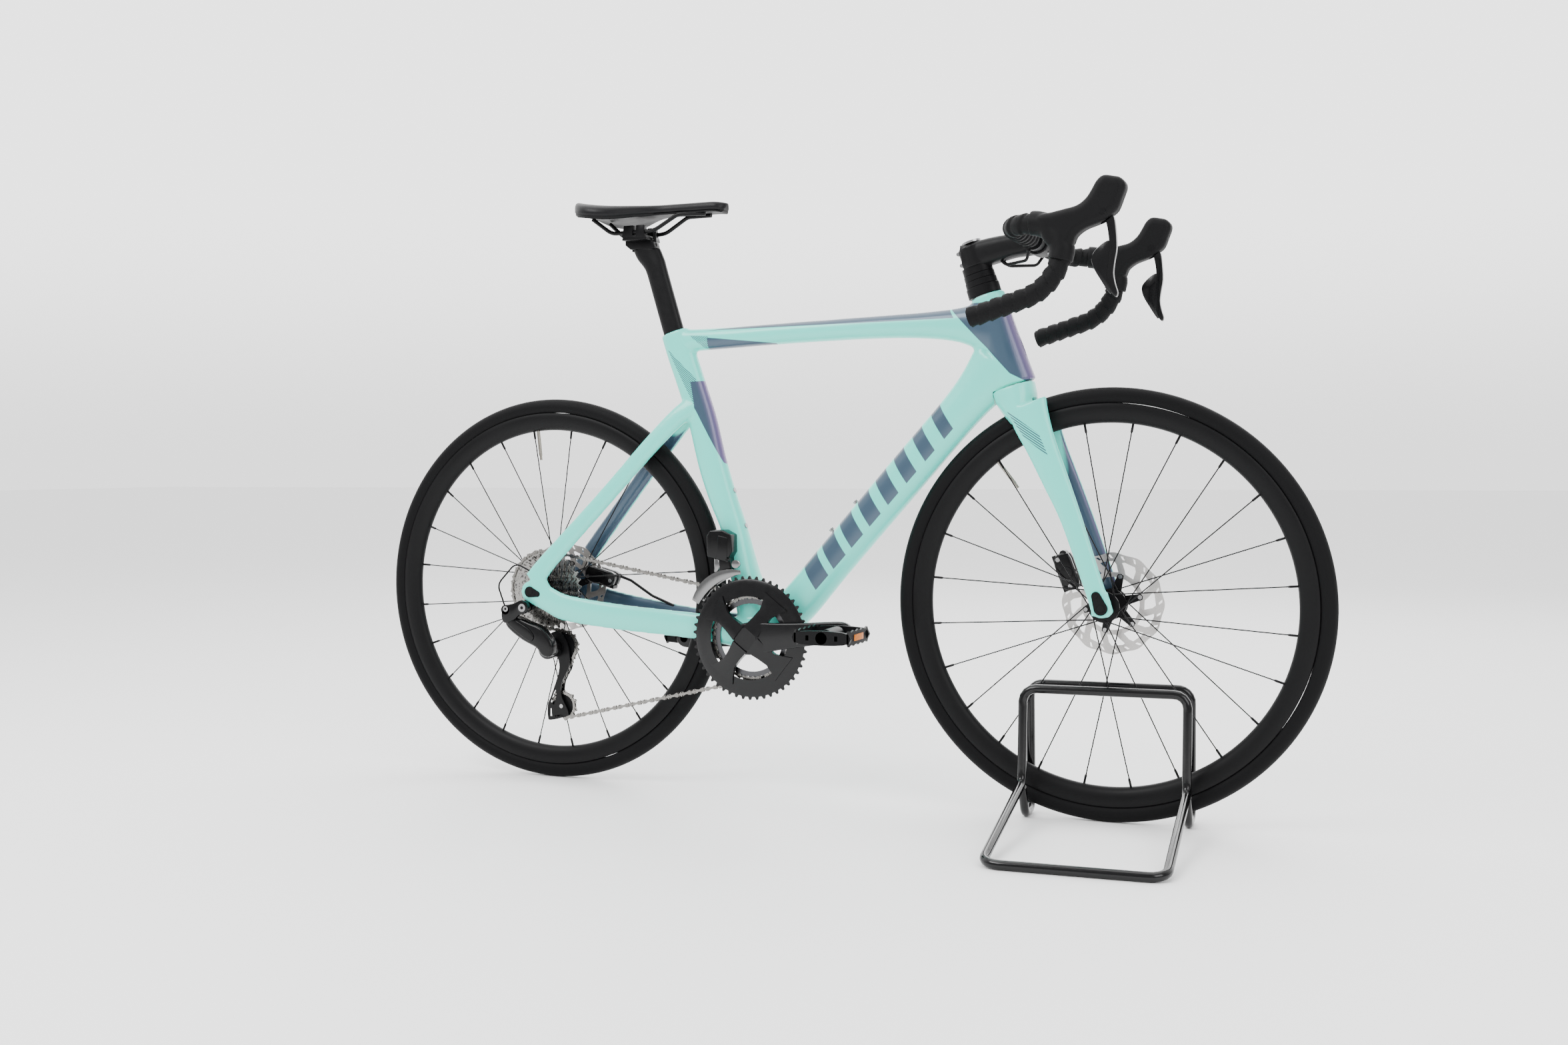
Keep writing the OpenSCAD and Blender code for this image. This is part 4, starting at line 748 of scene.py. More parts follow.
def saddle_ring(s, grow, under):
    """Cross-section: crowned top, rounded shoulders and drooping sides, closed below."""
    w, z, x = max(saddle_half(s) + grow, 0.4), saddle_top(s), -431.5 + 282 * s
    flat = min(1.0, w / 14)
    wing = 0.5 + 0.5 * math.cos(math.pi * min(max((s - 0.25) / 0.35, 0), 1))
    fall = (13.5 + 10 * wing) * flat * (0.5 + 0.5 * min(1, s / 0.09) ** 0.6)
    pts = []
    for k in range(33):
        a = math.pi * (k / 32 - 0.5)
        c = math.copysign(abs(math.sin(a)) ** 0.8, a)
        drop = fall * (1 - math.cos(a) ** 0.5) * (0.35 + 0.65 * abs(c) ** 3)
        pts.append((x, w * c, z + grow - drop - 2.2 * max(0, 1 - abs(w * c) / 9) * wing))
    for k in range(1, 12):
        a = 1 - 2 * k / 12
        pts.append((x, w * a, z - fall + (fall - under) * (1 - a * a) ** 0.5 if under < fall else z - fall - 1))
    return pts


saddle_skin = skin([saddle_ring(0.5 - 0.5 * math.cos(math.pi * i / 72), 0, 15) for i in range(73)])
saddle_leather = Finish("saddle_cover", (0.004, 0.004, 0.005), 0.36, shine=0.2)
saddle_leather.worn(0.42, 0.08, 120, 0.2).bump(saddle_leather.noise(1400, 2), 0.15, 0.0003)
pad = outward(together("saddle_pad_look", [saddle_skin]))
finish_piece(pad, "saddle_group", "saddle_cover", saddle_leather, "saddle_pad")
base = skin([[(x, y * 0.965, z - 3.2 if z < saddle_top((x + 431.5) / 282) - 9 else z - 6) for x, y, z in
              saddle_ring(0.012 + 0.975 * (0.5 - 0.5 * math.cos(math.pi * i / 48)), -1, 17)] for i in range(49)])
finish_piece(outward(together("saddle_shell_look", [base])), "saddle_group", "carbon_satin", carbon,
             "saddle_shell")


# ---- Wheels ----
# Deep carbon rims laced with 24 thin black spokes to small disc hubs, with slick 28 mm tyres.
def lathe(profile, x, z, count=192):
    """Closed ring of (radius, y) points turned about an axle along Y."""
    rings = [[(x + r * math.cos(2 * math.pi * i / count), y, z + r * math.sin(2 * math.pi * i / count))
              for r, y in profile] for i in range(count)]
    return skin(rings, True)


def copies(name, shapes, places, turns, kinds, material, size=1.0):
    """Plants copies of small shapes on points with a Geometry Nodes tree."""
    mesh = bpy.data.meshes.new(name)
    mesh.from_pydata([tuple(c * MM for c in p) for p in places], [], [])
    turn = mesh.attributes.new("turn", "FLOAT_VECTOR", "POINT")
    turn.data.foreach_set("vector", np.array(turns, np.float32).ravel())
    kind = mesh.attributes.new("kind", "INT", "POINT")
    kind.data.foreach_set("value", np.array(kinds, np.int32))
    obj = bpy.data.objects.new(name, mesh)
    bpy.context.scene.collection.objects.link(obj)
    tree = bpy.data.node_groups.new(name, "GeometryNodeTree")
    tree.interface.new_socket("Geometry", in_out="INPUT", socket_type="NodeSocketGeometry")
    tree.interface.new_socket("Size", in_out="INPUT", socket_type="NodeSocketFloat").default_value = size
    tree.interface.new_socket("Geometry", in_out="OUTPUT", socket_type="NodeSocketGeometry")
    make, link = tree.nodes.new, tree.links.new
    group_in, group_out, gather = make("NodeGroupInput"), make("NodeGroupOutput"), make("GeometryNodeJoinGeometry")
    read_turn, read_kind = make("GeometryNodeInputNamedAttribute"), make("GeometryNodeInputNamedAttribute")
    read_turn.data_type, read_kind.data_type = "FLOAT_VECTOR", "INT"
    read_turn.inputs[0].default_value, read_kind.inputs[0].default_value = "turn", "kind"
    for i, shape in enumerate(shapes):
        info, plant, same = make("GeometryNodeObjectInfo"), make("GeometryNodeInstanceOnPoints"), make(
            "FunctionNodeCompare")
        info.inputs[0].default_value = shape
        same.data_type, same.operation = "INT", "EQUAL"
        link(read_kind.outputs[0], same.inputs[2])
        same.inputs[3].default_value = i
        link(group_in.outputs[0], plant.inputs["Points"])
        link(same.outputs[0], plant.inputs["Selection"])
        link(info.outputs["Geometry"], plant.inputs["Instance"])
        link(read_turn.outputs[0], plant.inputs["Rotation"])
        link(group_in.outputs[1], plant.inputs["Scale"])
        link(plant.outputs[0], gather.inputs[0])
    real, coat = make("GeometryNodeRealizeInstances"), make("GeometryNodeSetMaterial")
    link(gather.outputs[0], real.inputs[0])
    link(real.outputs[0], coat.inputs[0])
    coat.inputs["Material"].default_value = material
    link(coat.outputs[0], group_out.inputs[0])
    modifier = obj.modifiers.new("copies", "NODES")
    modifier.node_group = tree
    applied(obj)
    for shape in shapes:
        bpy.data.objects.remove(shape)
    return obj


TYRE = [(324 + 14 * math.cos(a), 14 * math.sin(a)) for a in np.linspace(-2.35, 2.35, 31)]
TYRE += [(314.5, 8.6), (323, 10.6), (333, 4), (334, 0), (333, -4), (323, -10.6), (314.5, -8.6)]
RIM = [(312, 12.2), (306, 12.9), (298, 12.3), (291, 10.2), (286.5, 7.4), (284, 4.2), (283, 1.5), (283, -1.5),
       (284, -4.2), (286.5, -7.4), (291, -10.2), (298, -12.3), (306, -12.9), (312, -12.2), (313.6, -11.2),
       (313.6, -8.8), (306, -8.6), (306, 8.6), (313.6, 8.8), (313.6, 11.2)]
tyre_rubber = Finish("tyre_rubber", (0.0045, 0.0045, 0.005), 0.6, shine=0.1)
_, oy, _ = tyre_rubber.place()
off_line = oy.math("ABSOLUTE", oy) - 0.0085
side_line = off_line.math("ABSOLUTE", off_line)
tyre_rubber.worn(0.62, 0.09, 160, 0.3)
tyre_rubber.bump(tyre_rubber.noise(260, 3) * 0.3 + side_line.step(0.0004, 0.0004), 0.25, 0.0004)
rim_carbon = Finish("rim_carbon", (0.004, 0.004, 0.0045), 0.4, shine=0.14).worn(0.46, 0.1, 14, 0.3)
spoke_black = Finish("spoke_black", (0.003, 0.003, 0.0035), 0.3, shine=0.15).worn(0.3, 0.05, 300)
rotor_steel = Finish("rotor_steel", (0.27, 0.262, 0.245), 0.3, metal=1.0)
swirl = rotor_steel.noise(500, 2)
rotor_steel.put(Roughness=swirl * 0.2 + 0.22,
                **{"Base Color": rotor_steel.blend(swirl, (0.42, 0.40, 0.385), (0.60, 0.59, 0.58))})


def cut_away(obj, parts):
    """Cuts closed parts out of an object."""
    tool = outward(together(obj.name + "_cut", parts, False))
    cut = obj.modifiers.new("cut", "BOOLEAN")
    cut.object, cut.operation, cut.solver = tool, "DIFFERENCE", "EXACT"
    applied(obj)
    bpy.data.objects.remove(tool)
    return crisp(obj, 30)


def polar(cx, corners):
    return [(cx + r * math.cos(a), AXLE + r * math.sin(a)) for r, a in corners]


def vented_rotor(name, cx, y):
    """Wavy brake track with slanted slots, on twelve struts with windows between them."""
    wave = polar(cx, [(79.4 + 1.3 * math.cos(12 * a), a) for a in np.linspace(0, 2 * math.pi, 289)[:-1]])
    plate = outward(together(name, [slab(wave, y - 0.9, y + 0.9)], False))
    holes = [drum((cx, y - 4, AXLE), (cx, y + 4, AXLE), 42, count=96)]
    for k in range(12):
        a = math.pi * k / 6
        window = polar(cx, [(50, a - 0.17), (50, a + 0.12), (56, a + 0.19), (65.5, a + 0.30), (67, a + 0.24),
                            (67, a - 0.02), (62, a - 0.09)])
        holes.append(slab(window, y - 4, y + 4))
        for b, far, near in ((a + 0.03, 77.2, 71.5), (a + 0.29, 75.6, 70.5)):
            slot = polar(cx, [(near, b - 0.035), (near, b + 0.015), (far, b + 0.075), (far, b + 0.025)])
            holes.append(slab(slot, y - 4, y + 4))
    return cut_away(plate, holes)


valve_metal = Finish("valve_metal", (0.34, 0.32, 0.28), 0.3, metal=1.0).worn(0.3, 0.05, 200)
for word, cx, right, left in (("front", FRONT, -34, 24), ("rear", REAR, -19.5, 31)):
    body = word + "_wheel"
    finish_piece(crisp(outward(together(word + "_tyre_look", [lathe(TYRE, cx, AXLE)])), 60), body, "tyre_rubber",
                 tyre_rubber, word + "_tyre")
    finish_piece(crisp(outward(together(word + "_rim_look", [lathe(RIM, cx, AXLE)])), 60), body, "carbon_satin",
                 rim_carbon, word + "_rim")
    wires, nipples = [], []
    for i in range(24):
        is_left, lean_way = i % 2, 1 if (i // 2) % 2 == 0 else -1
        rim_at, hub_at = 2 * math.pi * (i + 0.5) / 24, 2 * math.pi * (i + 0.5) / 24 + math.radians(62 * lean_way)
        a = Vector((cx + 21 * math.cos(hub_at), (left if is_left else right) + lean_way * 1.9,
                    AXLE + 21 * math.sin(hub_at)))
        b = Vector((cx + 285 * math.cos(rim_at), 2.5 if is_left else -2.5, AXLE + 285 * math.sin(rim_at)))
        wires.append(drum(a, b, 0.95, count=10))
        t = (b - a).normalized()
        nipples += [drum(b - t * 14, b, 1.9, count=14), drum(b - t * 16, b - t * 13.9, 1.2, 1.9, 14)]
    finish_piece(crisp(outward(together(word + "_spokes_look", wires + nipples))), body, "spoke_black",
                 spoke_black, word + "_spokes")
    cad_finish(trim, word + "_hub")
    rotor_y = 38.5 if cx > 0 else 45
    finish_piece(vented_rotor(word + "_rotor_look", cx, rotor_y), body, "steel", rotor_steel, word + "_rotor")
    spider, rivets = [drum((cx, rotor_y - 2.5, AXLE), (cx, rotor_y + 2.5, AXLE), 24)], []
    for k in range(6):
        a = math.pi * k / 3 + 0.25
        arm = polar(cx, [(20, a - 0.42), (47, a - 0.10), (48.5, a), (47, a + 0.10), (20, a + 0.42)])
        spider.append(slab(arm, rotor_y - 1.7, rotor_y + 1.7))
        p = polar(cx, [(44, a)])[0]
        rivets.append(drum((p[0], rotor_y - 2.5, p[1]), (p[0], rotor_y + 2.5, p[1]), 3.4, count=24))
    finish_piece(crisp(outward(together(word + "_rotor_carrier", spider))), body, "black_alloy", trim)
    finish_piece(crisp(outward(together(word + "_rotor_rivets", rivets))), body, "steel", metal_bolt)
    cad_finish(valve_metal, word + "_valve")


# ---- Chainset, chain and sprockets ----
# Hollow black crank arm with a four-arm spider, two rings, a 12-speed cassette and a silver chain.
def toothed(teeth, y0, y1, x, z, inner, tip=3.4, shift=0.5):
    """Sprocket with one tooth for each link of the chain, and a plain bore."""
    pitch = 12.7 / (2 * math.sin(math.pi / teeth))
    outer, bore = [], []
    for i in range(teeth):
        for share, r in ((0, tip), (0.12, tip * 0.85), (0.27, -1.8), (0.5, -4.2), (0.73, -1.8), (0.88, tip * 0.85)):
            a = 2 * math.pi * (i + share + shift) / teeth
            outer.append((x + (pitch + r) * math.cos(a), z + (pitch + r) * math.sin(a)))
            bore.append((x + inner * math.cos(a), z + inner * math.sin(a)))
    n = len(outer)
    verts = [(p[0], y, p[1]) for y in (y0, y1) for ring in (outer, bore) for p in ring]
    faces = []
    for k in range(n):
        j = (k + 1) % n
        faces += [(k, j, n + j, n + k), (2 * n + j, 2 * n + k, 3 * n + k, 3 * n + j),
                  (k, 2 * n + k, 2 * n + j, j), (n + j, 3 * n + j, 3 * n + k, n + k)]
    return verts, faces


steel = Finish("sprocket_steel", (0.34, 0.335, 0.325), 0.28, metal=1.0).worn(0.28, 0.1, 240, 0.35)
# Painted shade: rows of dark spots on the sprockets stand in for the shaded holes, which are not modelled
px, _, pz = steel.place()
reach = (px - REAR * MM).math("POWER", px - REAR * MM, 2.0) + (pz - AXLE * MM).math("POWER", pz - AXLE * MM, 2.0)
band = (reach.math("SQRT", reach) / 0.0105).math("FRACT", reach.math("SQRT", reach) / 0.0105)
cells = steel.node("ShaderNodeTexVoronoi", Vector=steel.node("ShaderNodeTexCoord", out=3), Scale=170.0)
dark = band.step(0.55, 0.2) * (1 - cells.step(0.45, 0.2))
steel.put(**{"Base Color": steel.blend(dark * 0.8, (0.36, 0.35, 0.335), (0.05, 0.05, 0.05))})
dark_steel = Finish("dark_steel", (0.10, 0.10, 0.105), 0.3, metal=1.0).worn(0.3, 0.1, 240, 0.3)
cogs = []
for i, teeth in enumerate((34, 30, 27, 24, 21, 19, 17, 15, 14, 13, 12, 11)):
    y = -27 - 3.45 * i
    pitch = 12.7 / (2 * math.sin(math.pi / teeth))
    cogs.append(toothed(teeth, y - 0.8, y + 0.8, REAR, AXLE, max(pitch - 13, 16.6) if i < 5 else 16.6))
    if i < 5:
        for k in range(9):
            a = 2 * math.pi * k / 9 + 0.2 * i
            c, s = math.cos(a), math.sin(a)
            inner, outer, wide = 15, pitch - 10, 3.4
            cogs.append(skin([[(REAR + r * c - w * s, y + dy, AXLE + r * s + w * c) for r, w in
                               ((inner, -wide), (outer, -wide), (outer, wide), (inner, wide))]
                              for dy in (-0.7, 0.7)]))
cogs.append(drum((REAR, -66, AXLE), (REAR, -24.6, AXLE), 16.8))
finish_piece(crisp(outward(together("cassette_look", cogs))), "cassette", "steel", steel, "cassette")

SMALL_R, LARGE_R = (12.7 / (2 * math.sin(math.pi / 34)),) * 2
GUIDE, TENSION = (REAR + 34.5, AXLE - 99), (REAR + 33.5, AXLE - 205)
GUIDE_R, TENSION_R = 12.7 / (2 * math.sin(math.pi / 13)), 12.7 / (2 * math.sin(math.pi / 11))


def towards(a, b):
    return math.atan2(b[1] - a[1], b[0] - a[0])


def apart(a, b):
    return math.hypot(b[0] - a[0], b[1] - a[1])


def bend(c, y, r, start, stop, count):
    return [Vector((c[0] + r * math.cos(a), y, c[1] + r * math.sin(a))) for a in np.linspace(start, stop, count)]


HUB = (REAR, AXLE)
top_run = towards(HUB, BB) + math.pi / 2 - math.asin((SMALL_R - LARGE_R) / apart(BB, HUB))
low_run = towards(BB, TENSION) + math.acos((SMALL_R - TENSION_R) / apart(TENSION, BB)) - 2 * math.pi
cross_run = towards(TENSION, GUIDE) + math.acos((TENSION_R + GUIDE_R) / apart(TENSION, GUIDE))
back_run = towards(GUIDE, HUB) - math.acos((GUIDE_R + LARGE_R) / apart(HUB, GUIDE))
route = [*bend(BB, -41, SMALL_R, top_run, low_run, 60),
         *bend(TENSION, -27, TENSION_R, low_run, cross_run - 2 * math.pi, 30),
         *bend(GUIDE, -27, GUIDE_R, cross_run - math.pi, back_run, 30),
         *bend(HUB, -27, LARGE_R, back_run + math.pi, top_run, 60)]
route.append(route[0])
length = sum((b - a).length for a, b in zip(route, route[1:]))
links = 2 * round(length / 25.4)
pins = even(route, length / (links + 0.5))[:links]


def link_plate(y, wide, waist):
    pts = []
    for k in range(28):
        a = 2 * math.pi * k / 28
        x = 6.35 * (1 if math.cos(a) > 0 else -1) + wide * math.cos(a)
        pts.append((x, wide * math.sin(a) * (waist if abs(math.cos(a)) < 0.25 else 1)))
    return slab(pts, y - 0.5, y + 0.5)


outer_link = together("outer_link", [link_plate(-2.6, 4.6, 0.4), link_plate(2.6, 4.6, 0.4),
                                     drum((-6.35, -3.3, 0), (-6.35, 3.3, 0), 1.8, count=12),
                                     drum((6.35, -3.3, 0), (6.35, 3.3, 0), 1.8, count=12)], False)
inner_link = together("inner_link", [link_plate(-1.55, 3.5, 0.5), link_plate(1.55, 3.5, 0.5),
                                     drum((-6.35, -1.3, 0), (-6.35, 1.3, 0), 3.6, count=12),
                                     drum((6.35, -1.3, 0), (6.35, 1.3, 0), 3.6, count=12)], False)
centres, turns = [], []
for a, b in zip(pins, pins[1:] + pins[:1]):
    centres.append((a + b) / 2)
    turns.append((0, -math.atan2(b.z - a.z, b.x - a.x), 0))
chain_steel = Finish("chain_steel", (0.29, 0.28, 0.265), 0.26, metal=1.0).worn(0.28, 0.1, 400, 0.3)
chain_look = copies("chain_look", [outward(outer_link), outward(inner_link)], centres, turns,
                    [i % 2 for i in range(links)], chain_steel.mat)
finish_piece(chain_look, "frame", "steel", chain_steel, "chain")

ring_black = Finish("ring_black", (0.003, 0.003, 0.0036), 0.2, shine=0.3).worn(0.24, 0.08, 90, 0.2)
finish_piece(crisp(outward(together("big_ring_look", [
    toothed(50, -48.6, -46.4, *BB, 84, tip=2.9), lathe([(88, -50.2), (97, -49.4), (99, -48), (97, -46.4), (84, -46.4),
                                                        (74, -49), (70, -51.5), (70, -53.5), (75, -52.8)], *BB)])), 30),
             "cranks", "black_alloy", ring_black, "big_ring")
finish_piece(crisp(outward(together("small_ring_look", [toothed(34, -42, -40.2, *BB, 57, tip=2.9)]))), "cranks", "steel",
             dark_steel, "small_ring")
arm_angle = math.radians(6)


def from_crank(side, u, v):
    """Point u along the arm and v to its side, in X and Z."""
    a = arm_angle if side < 0 else arm_angle + math.pi
    return BB[0] + u * math.cos(a) - v * math.sin(a), BB[1] + u * math.sin(a) + v * math.cos(a)


ARM = [(-22, 12), (-12, 23), (4, 27), (28, 25.5), (60, 22), (110, 19), (155, 17.5), (176, 15), (186.5, 6),
       (186.5, -6), (176, -15), (155, -17.5), (110, -19), (60, -22), (28, -25.5), (4, -27), (-12, -23), (-22, -12)]
for side, word in ((-1, "right"), (1, "left")):
    outline = [from_crank(side, u, v) for u, v in smooth_outline(ARM, 3)]
    y0, y1 = (-66, -55) if side < 0 else (53, 65)
    arm = together("crank_%s_look" % word, [slab(outline, y0, y1)])
    bevelled(arm, 3.4, 4)
    extra = [drum((BB[0], -66.6, BB[1]), (BB[0], -44, BB[1]), 19), drum((BB[0], -43, BB[1]), (BB[0], 56, BB[1]), 12)]
    if side < 0:
        for k in range(4):
            a = math.radians(52 + 90 * k)
            c, s = math.cos(a), math.sin(a)
            rows = [(16, -62, 30, 13), (36, -60, 25, 10), (54, -56.5, 24, 8), (68, -53.4, 36, 6), (80, -51.6, 50, 4)]
            extra.append(skin([[(BB[0] + r * c - w * s, y + h, BB[1] + r * s + w * c)
                                for w, h in ((-wide / 2, -high / 2), (-wide / 4, -high / 2 - 1), (wide / 4, -high / 2 - 1),
                                             (wide / 2, -high / 2), (wide / 2, high / 2), (-wide / 2, high / 2))]
                               for r, y, wide, high in rows]))
    else:
        extra = [drum((BB[0], 45.6, BB[1]), (BB[0], 66, BB[1]), 18)]
    more = crisp(outward(together("crank_extra", extra)))
    bpy.context.view_layer.objects.active = arm
    for o in bpy.context.selected_objects:
        o.select_set(False)
    arm.select_set(True)
    more.select_set(True)
    with bpy.context.temp_override(active_object=arm, selected_editable_objects=[arm, more]):
        bpy.ops.object.join()
    finish_piece(arm, "cranks", "black_alloy", ring_black, "crank_" + word)
cad_finish(metal_bolt, "ring_bolts", "pedal_spindles")

# ---- Pedals ----
# Black caged platform pedals with small teeth along the cage edges and amber end reflectors.
pedal_black = Finish("pedal_black", (0.0035, 0.0035, 0.004), 0.36, shine=0.15).worn(0.4, 0.08, 200, 0.2)
amber = Finish("amber_lens", (0.75, 0.22, 0.03), 0.2, coat=0.5).worn(0.2, 0.05, 400, 0.1)
for side, word in ((-1, "right"), (1, "left")):
    cx, cz = from_crank(side, 172.5, 0)
    y0, y1 = (-164, -72) if side < 0 else (72, 164)
    parts = [drum((cx, y0, cz), (cx, y1, cz), 9.5), drum((cx, y0 + 20, cz), (cx, y1 - 20, cz), 12)]
    for sx in (-1, 1):
        teeth = []
        for k in range(9):
            yy = y0 + 4 + (y1 - y0 - 8) * k / 8
            teeth += [(yy, 9.5 if k % 2 else 12.5)]
        rail = [(y0, -8)] + [(y0, 8)] + teeth + [(y1, 8), (y1, -8)] + [(t[0], -t[1]) for t in teeth[::-1]]
        parts.append(skin([[(cx + sx * 44 + dx, yy, cz + h) for yy, h in rail] for dx in (-1.6, 1.6)]))
    for yy in (y0, y1 - 6):
        parts.append(slab(smooth_outline([(cx - 46, cz - 7), (cx - 20, cz - 11), (cx + 20, cz - 11), (cx + 46, cz - 7),
                                          (cx + 46, cz + 7), (cx + 20, cz + 11), (cx - 20, cz + 11),
                                          (cx - 46, cz + 7)], 2), yy, yy + 6))
    for dx in (-26, 22):
        parts.append(slab([(cx + dx, cz - 4), (cx + dx + 5, cz - 4), (cx + dx + 5, cz + 4), (cx + dx, cz + 4)], y0, y1))
    finish_piece(crisp(outward(together("pedal_%s_look" % word, parts))), "pedal_" + word, "lever_black", pedal_black,
                 "pedal_" + word)
    lens = []
    for sx in (-1, 1):
        x0 = cx + sx * 45.7
        lens.append(slab([(x0 - 1, cz - 5), (x0 + 1, cz - 5), (x0 + 1, cz + 5), (x0 - 1, cz + 5)], y0 + 26, y1 - 26))
    finish_piece(outward(together("pedal_%s_reflectors" % word, lens, False)), "pedal_" + word, "lever_black", amber)

# ---- Rear mech ----
# Electric rear mech: black base and motor block, swinging link, knuckle, and a long cage with two pulleys.
mech_black = Finish("mech_black", (0.002, 0.002, 0.0024), 0.2, shine=0.25).worn(0.22, 0.08, 110, 0.15)
cage_grey = Finish("cage_grey", (0.007, 0.007, 0.0075), 0.36, shine=0.18).worn(0.36, 0.08, 160, 0.2)
base_parts = [slab(smooth_outline([(-521, 318), (-505, 324), (-496, 316), (-497, 303), (-510, 298), (-520, 290),
                                   (-540, 283), (-546, 297), (-540, 312)], 3), -94, -88.5),
              drum((-503, -95, 311), (-503, -84, 311), 11), drum((-538, -94, 306), (-538, -78, 306), 9),
              drum((-506.5, -88, 311), (-506.5, -71.5, 311), 8)]
finish_piece(bevelled(together("rear_mech_base_look", base_parts), 1.2), "frame", "caliper_black", mech_black,
             "rear_mech_base")
screws = [drum((-503, -96.2, 311), (-503, -94.8, 311), 7, 6.4, 32),
          drum((-537, -95, 308), (-537, -93.8, 308), 5, 4.6, 32)]
finish_piece(crisp(outward(together("rear_mech_screws", screws))), "frame", "steel", metal_bolt)
sockets = [drum((-503, -96.6, 311), (-503, -95.5, 311), 3.1, count=6),
           drum((-537, -95.4, 308), (-537, -94, 308), 2.2, count=6)]
finish_piece(crisp(outward(together("rear_mech_sockets", sockets))), "frame", "black_alloy", trim)
link_parts = [pillow(smooth_outline([(-541, 301), (-544, 284), (-536, 271), (-509, 253), (-482, 241), (-472, 229), (-459, 225),
                                     (-449, 233), (-449, 250), (-458, 263), (-472, 277), (-495, 285), (-519, 294)], 3),
                     -88, -66, 6),
              pillow(smooth_outline([(-536, 296), (-538, 284), (-530, 276), (-506, 259), (-490, 252), (-484, 262),
                                     (-497, 276), (-519, 288)], 3), -90.5, -85, 2)]
finish_piece(bevelled(together("rear_mech_link_look", link_parts), 4.5, 4), "rear_mech_link", "caliper_black",
             mech_black, "rear_mech_link")
knuckle_parts = [drum((-472, -66.5, 236), (-472, -39, 236), 17), drum((-472, -70, 236), (-472, -66, 236), 13, 17)]
finish_piece(bevelled(together("rear_mech_knuckle_look", knuckle_parts), 1.5), "rear_mech_knuckle", "caliper_black",
             mech_black, "rear_mech_knuckle")
CAGE = [(-482, 241), (-487, 253), (-477, 264), (-461, 262), (-451, 249), (-445, 229), (-446, 203), (-453, 189),
        (-461, 173), (-462, 152), (-451, 130), (-448, 121), (-452, 115), (-483, 107), (-489, 112), (-489, 134),
        (-483, 148), (-475, 168), (-467, 190), (-465, 207), (-470, 222)]
cage_parts = [slab(smooth_outline(CAGE, 4), -21.5, -19.6),
              drum((GUIDE[0], -36, GUIDE[1]), (GUIDE[0], -19.5, GUIDE[1]), 3),
              drum((TENSION[0], -36, TENSION[1]), (TENSION[0], -19.5, TENSION[1]), 3)]
windows = [slab(points, -40, -30) for points in (
    [(-484, 139), (-478, 155), (-473, 163), (-471, 152), (-476.5, 134)],
    [(-484.5, 130), (-477, 122), (-479, 113.5), (-485, 114)], [(-475, 116), (-463, 117.5), (-457, 116.5), (-474, 112)])]
outer_plate = outward(together("rear_mech_cage_look", [slab(smooth_outline(CAGE, 4), -35, -32.6)], False))
finish_piece(cut_away(outer_plate, windows), "rear_mech_cage", "caliper_black", cage_grey, "rear_mech_cage")
finish_piece(bevelled(together("rear_mech_cage_inner", cage_parts), 0.6), "rear_mech_cage", "caliper_black", cage_grey)
bolt_heads = [drum((TENSION[0], -36.8, TENSION[1]), (TENSION[0], -35, TENSION[1]), 3.6, count=32)]
finish_piece(crisp(outward(together("rear_mech_cage_screw", bolt_heads))), "rear_mech_cage", "steel", metal_bolt)
for word, centre, teeth in (("guide", GUIDE, 13), ("tension", TENSION, 11)):
    pulley = together(word + "_pulley_look", [toothed(teeth, -28, -26, *centre, 3.2, tip=1.5, shift=0.3)])
    finish_piece(crisp(outward(pulley)), word + "_pulley", "lever_black", pedal_black, word + "_pulley")
hose_black = Finish("hose_black", (0.003, 0.003, 0.0035), 0.4, shine=0.15).worn(0.4, 0.06, 200, 0.1)
WIRE = [(-494, -75, 372, 0), (-522, -84, 388, 14), (-556, -89, 350, 18), (-540, -89, 308, 0)]
wire = together("mech_wire_look", [pipe(even(rounded(WIRE), 2.5), 1.4, 12)])
finish_piece(outward(wire), "frame", "hose_black", hose_black, "mech_wire")

# ---- Front mech ----
# Electric front mech: black motor block on the seat tube, and a bright cage over the chainrings.
block = [pillow([(-171, 404), (-172, 438), (-166, 448), (-142, 449), (-127, 441), (-125, 412), (-131, 402), (-150, 399)],
                -46, -13, 3),
         pillow([(-160, 404), (-131, 404), (-128, 384), (-140, 374), (-158, 376)], -43, -18, 2.5),
         slab([(-150, 440), (-132, 436), (-134, 396), (-152, 400)], -47.2, -45),
         drum((-133, -44, 398), (-133, -48, 398), 3.5, 3.2, 24)]
finish_piece(bevelled(together("front_mech_look", block), 2.6, 3), "frame", "caliper_black", mech_black, "front_mech")
cage_steel = Finish("cage_steel", (0.22, 0.22, 0.22), 0.2, metal=1.0).worn(0.2, 0.06, 130, 0.15)
plates = []
for y, start, stop in ((-49.5, 150, 98), (-32, 148, 104)):
    ring = []
    for a in np.linspace(start, stop, 26):
        share = (start - a) / (start - stop)
        c, s = math.cos(math.radians(a)), math.sin(math.radians(a))
        low, high = 107.5, 113 + 15 * math.sin(math.pi * (0.2 + 0.7 * share)) - 4 * share
        ring.append([(BB[0] + r * c, yy, BB[1] + r * s) for r, yy in ((low, y - 0.7), (high, y - 0.7), (high, y + 0.7),
                                                                   (low, y + 0.7))])
    plates.append(skin(ring))
plates += [slab([(-196, 330), (-188, 326), (-184, 334), (-192, 338)], -49.5, -34),
           drum((-139.6 - 14, -40, 378), (-139.6 - 14, -40, 400), 6), drum((-118, -47, 392), (-118, -40, 392), 7)]
finish_piece(bevelled(together("front_mech_cage_look", plates), 0.4), "front_mech_cage", "steel", cage_steel,
             "front_mech_cage")

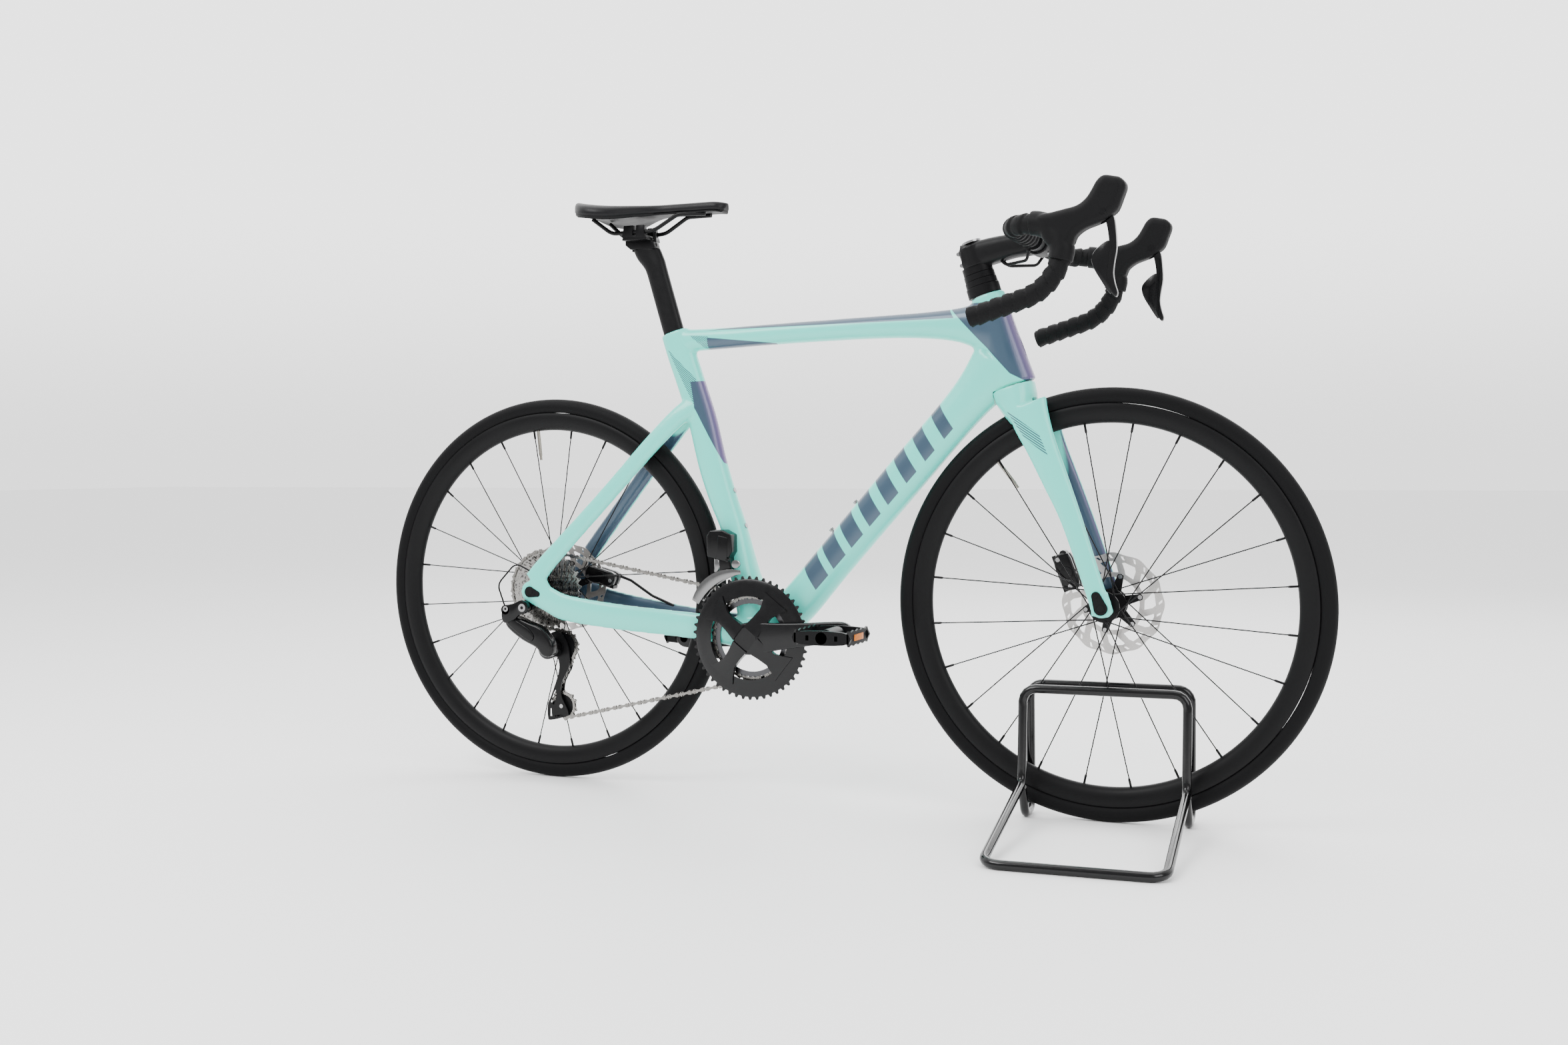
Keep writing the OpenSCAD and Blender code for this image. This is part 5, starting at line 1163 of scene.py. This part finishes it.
# ---- Brake calipers and hoses ----
# Flat-mount hydraulic calipers over vented rotors, fed by hoses that come out of the frame and fork.
for word, body, cx, cz, y, turn in (("front", "fork_and_bar", 423, 387, 39.5, 110), ("rear", "frame", -421, 359, 46, 165)):
    c, s = math.cos(math.radians(turn)), math.sin(math.radians(turn))

    def at(points):
        return [(cx + u * c - v * s, cz + u * s + v * c) for u, v in points]

    body_line = at(smooth_outline([(-29, -12), (-29, 8), (-18, 14), (-4, 12), (6, 15), (22, 13), (30, 4), (27, -12),
                                   (8, -14), (-10, -14)], 2))
    disc_y = 38.5 if word == "front" else 45
    parts = [pillow(body_line, disc_y - 1.9, disc_y - 14, 3), pillow(body_line, disc_y + 1.9, disc_y + 16, 4),
             slab(at([(-30, 9), (30, 9), (30, 15), (-30, 15)]), disc_y - 8, disc_y + 8)]
    p = at([(-2, 0)])[0]
    parts += [drum((p[0], disc_y - 13, p[1]), (p[0], disc_y - 15.5, p[1]), 10.5, 9.5),
              drum((p[0], disc_y + 15, p[1]), (p[0], disc_y + 19, p[1]), 10.5, 9.5)]
    p = at([(28, -4)])[0]
    parts.append(drum((p[0], disc_y - 9, p[1]), (p[0], disc_y + 9, p[1]), 6))
    finish_piece(crisp(outward(together(word + "_caliper_look", parts))), body, "caliper_black", mech_black,
                 word + "_caliper")
    pins = []
    for u, v in ((-24, 1), (22, 6)):
        p = at([(u, v)])[0]
        pins.append(drum((p[0], disc_y + 15, p[1]), (p[0], disc_y + 17.5, p[1]), 3.6, count=24))
        pins.append(drum((p[0], disc_y - 13, p[1]), (p[0], disc_y - 15, p[1]), 3.6, count=24))
    finish_piece(crisp(outward(together(word + "_caliper_bolts", pins))), body, "steel", metal_bolt)
cad_finish(hose_black, "rear_brake_hose", "cockpit_hoses")

# ---- Floor stand ----
# Two hoops of bent steel tube, welded together where they cross, in gloss black.
stand_black = Finish("stand_black", (0.002, 0.002, 0.0024), 0.12, shine=0.35)
chips = stand_black.noise(90, 6)
stand_black.put(Roughness=chips * 0.2 + 0.06)


def on_stand(points):
    c, s = math.cos(math.radians(3)), math.sin(math.radians(3))
    return [(FRONT + (x - 1) * c - y * s, (x - 1) * s + y * c, z, r) for x, y, z, r in points]


def closed_route(points, per=8):
    out = []
    n = len(points)
    for i in range(n):
        out += rounded([points[i - 1], points[i], points[(i + 1) % n]], per)[1:-1]
    return out


HOOP = [(-125, -34, 208, 20), (125, -34, 208, 20), (125, -46, 60, 18), (125, -342, 7, 24), (-125, -342, 7, 24),
        (-125, -46, 60, 18)]
hoop_path = closed_route(on_stand(HOOP))
hoop_path.append(hoop_path[0])
hoop_path = even(hoop_path, 8)[:-1]
finish_piece(outward(together("stand_hoop_look", [pipe(hoop_path, 7, 28, True)])), "stand", "stand_black", stand_black,
             "stand_hoop")
CRADLE = [(-125, -42, 54, 0), (-125, -15, 7, 20), (-125, 38, 7, 16), (-125, 27, 208, 20), (125, 27, 208, 20),
          (125, 38, 7, 16), (125, -15, 7, 20), (125, -42, 54, 0)]
finish_piece(crisp(outward(together("stand_cradle_look", [pipe(even(rounded(on_stand(CRADLE), 8), 6), 7, 28)]))),
             "stand", "stand_black", stand_black, "stand_cradle")
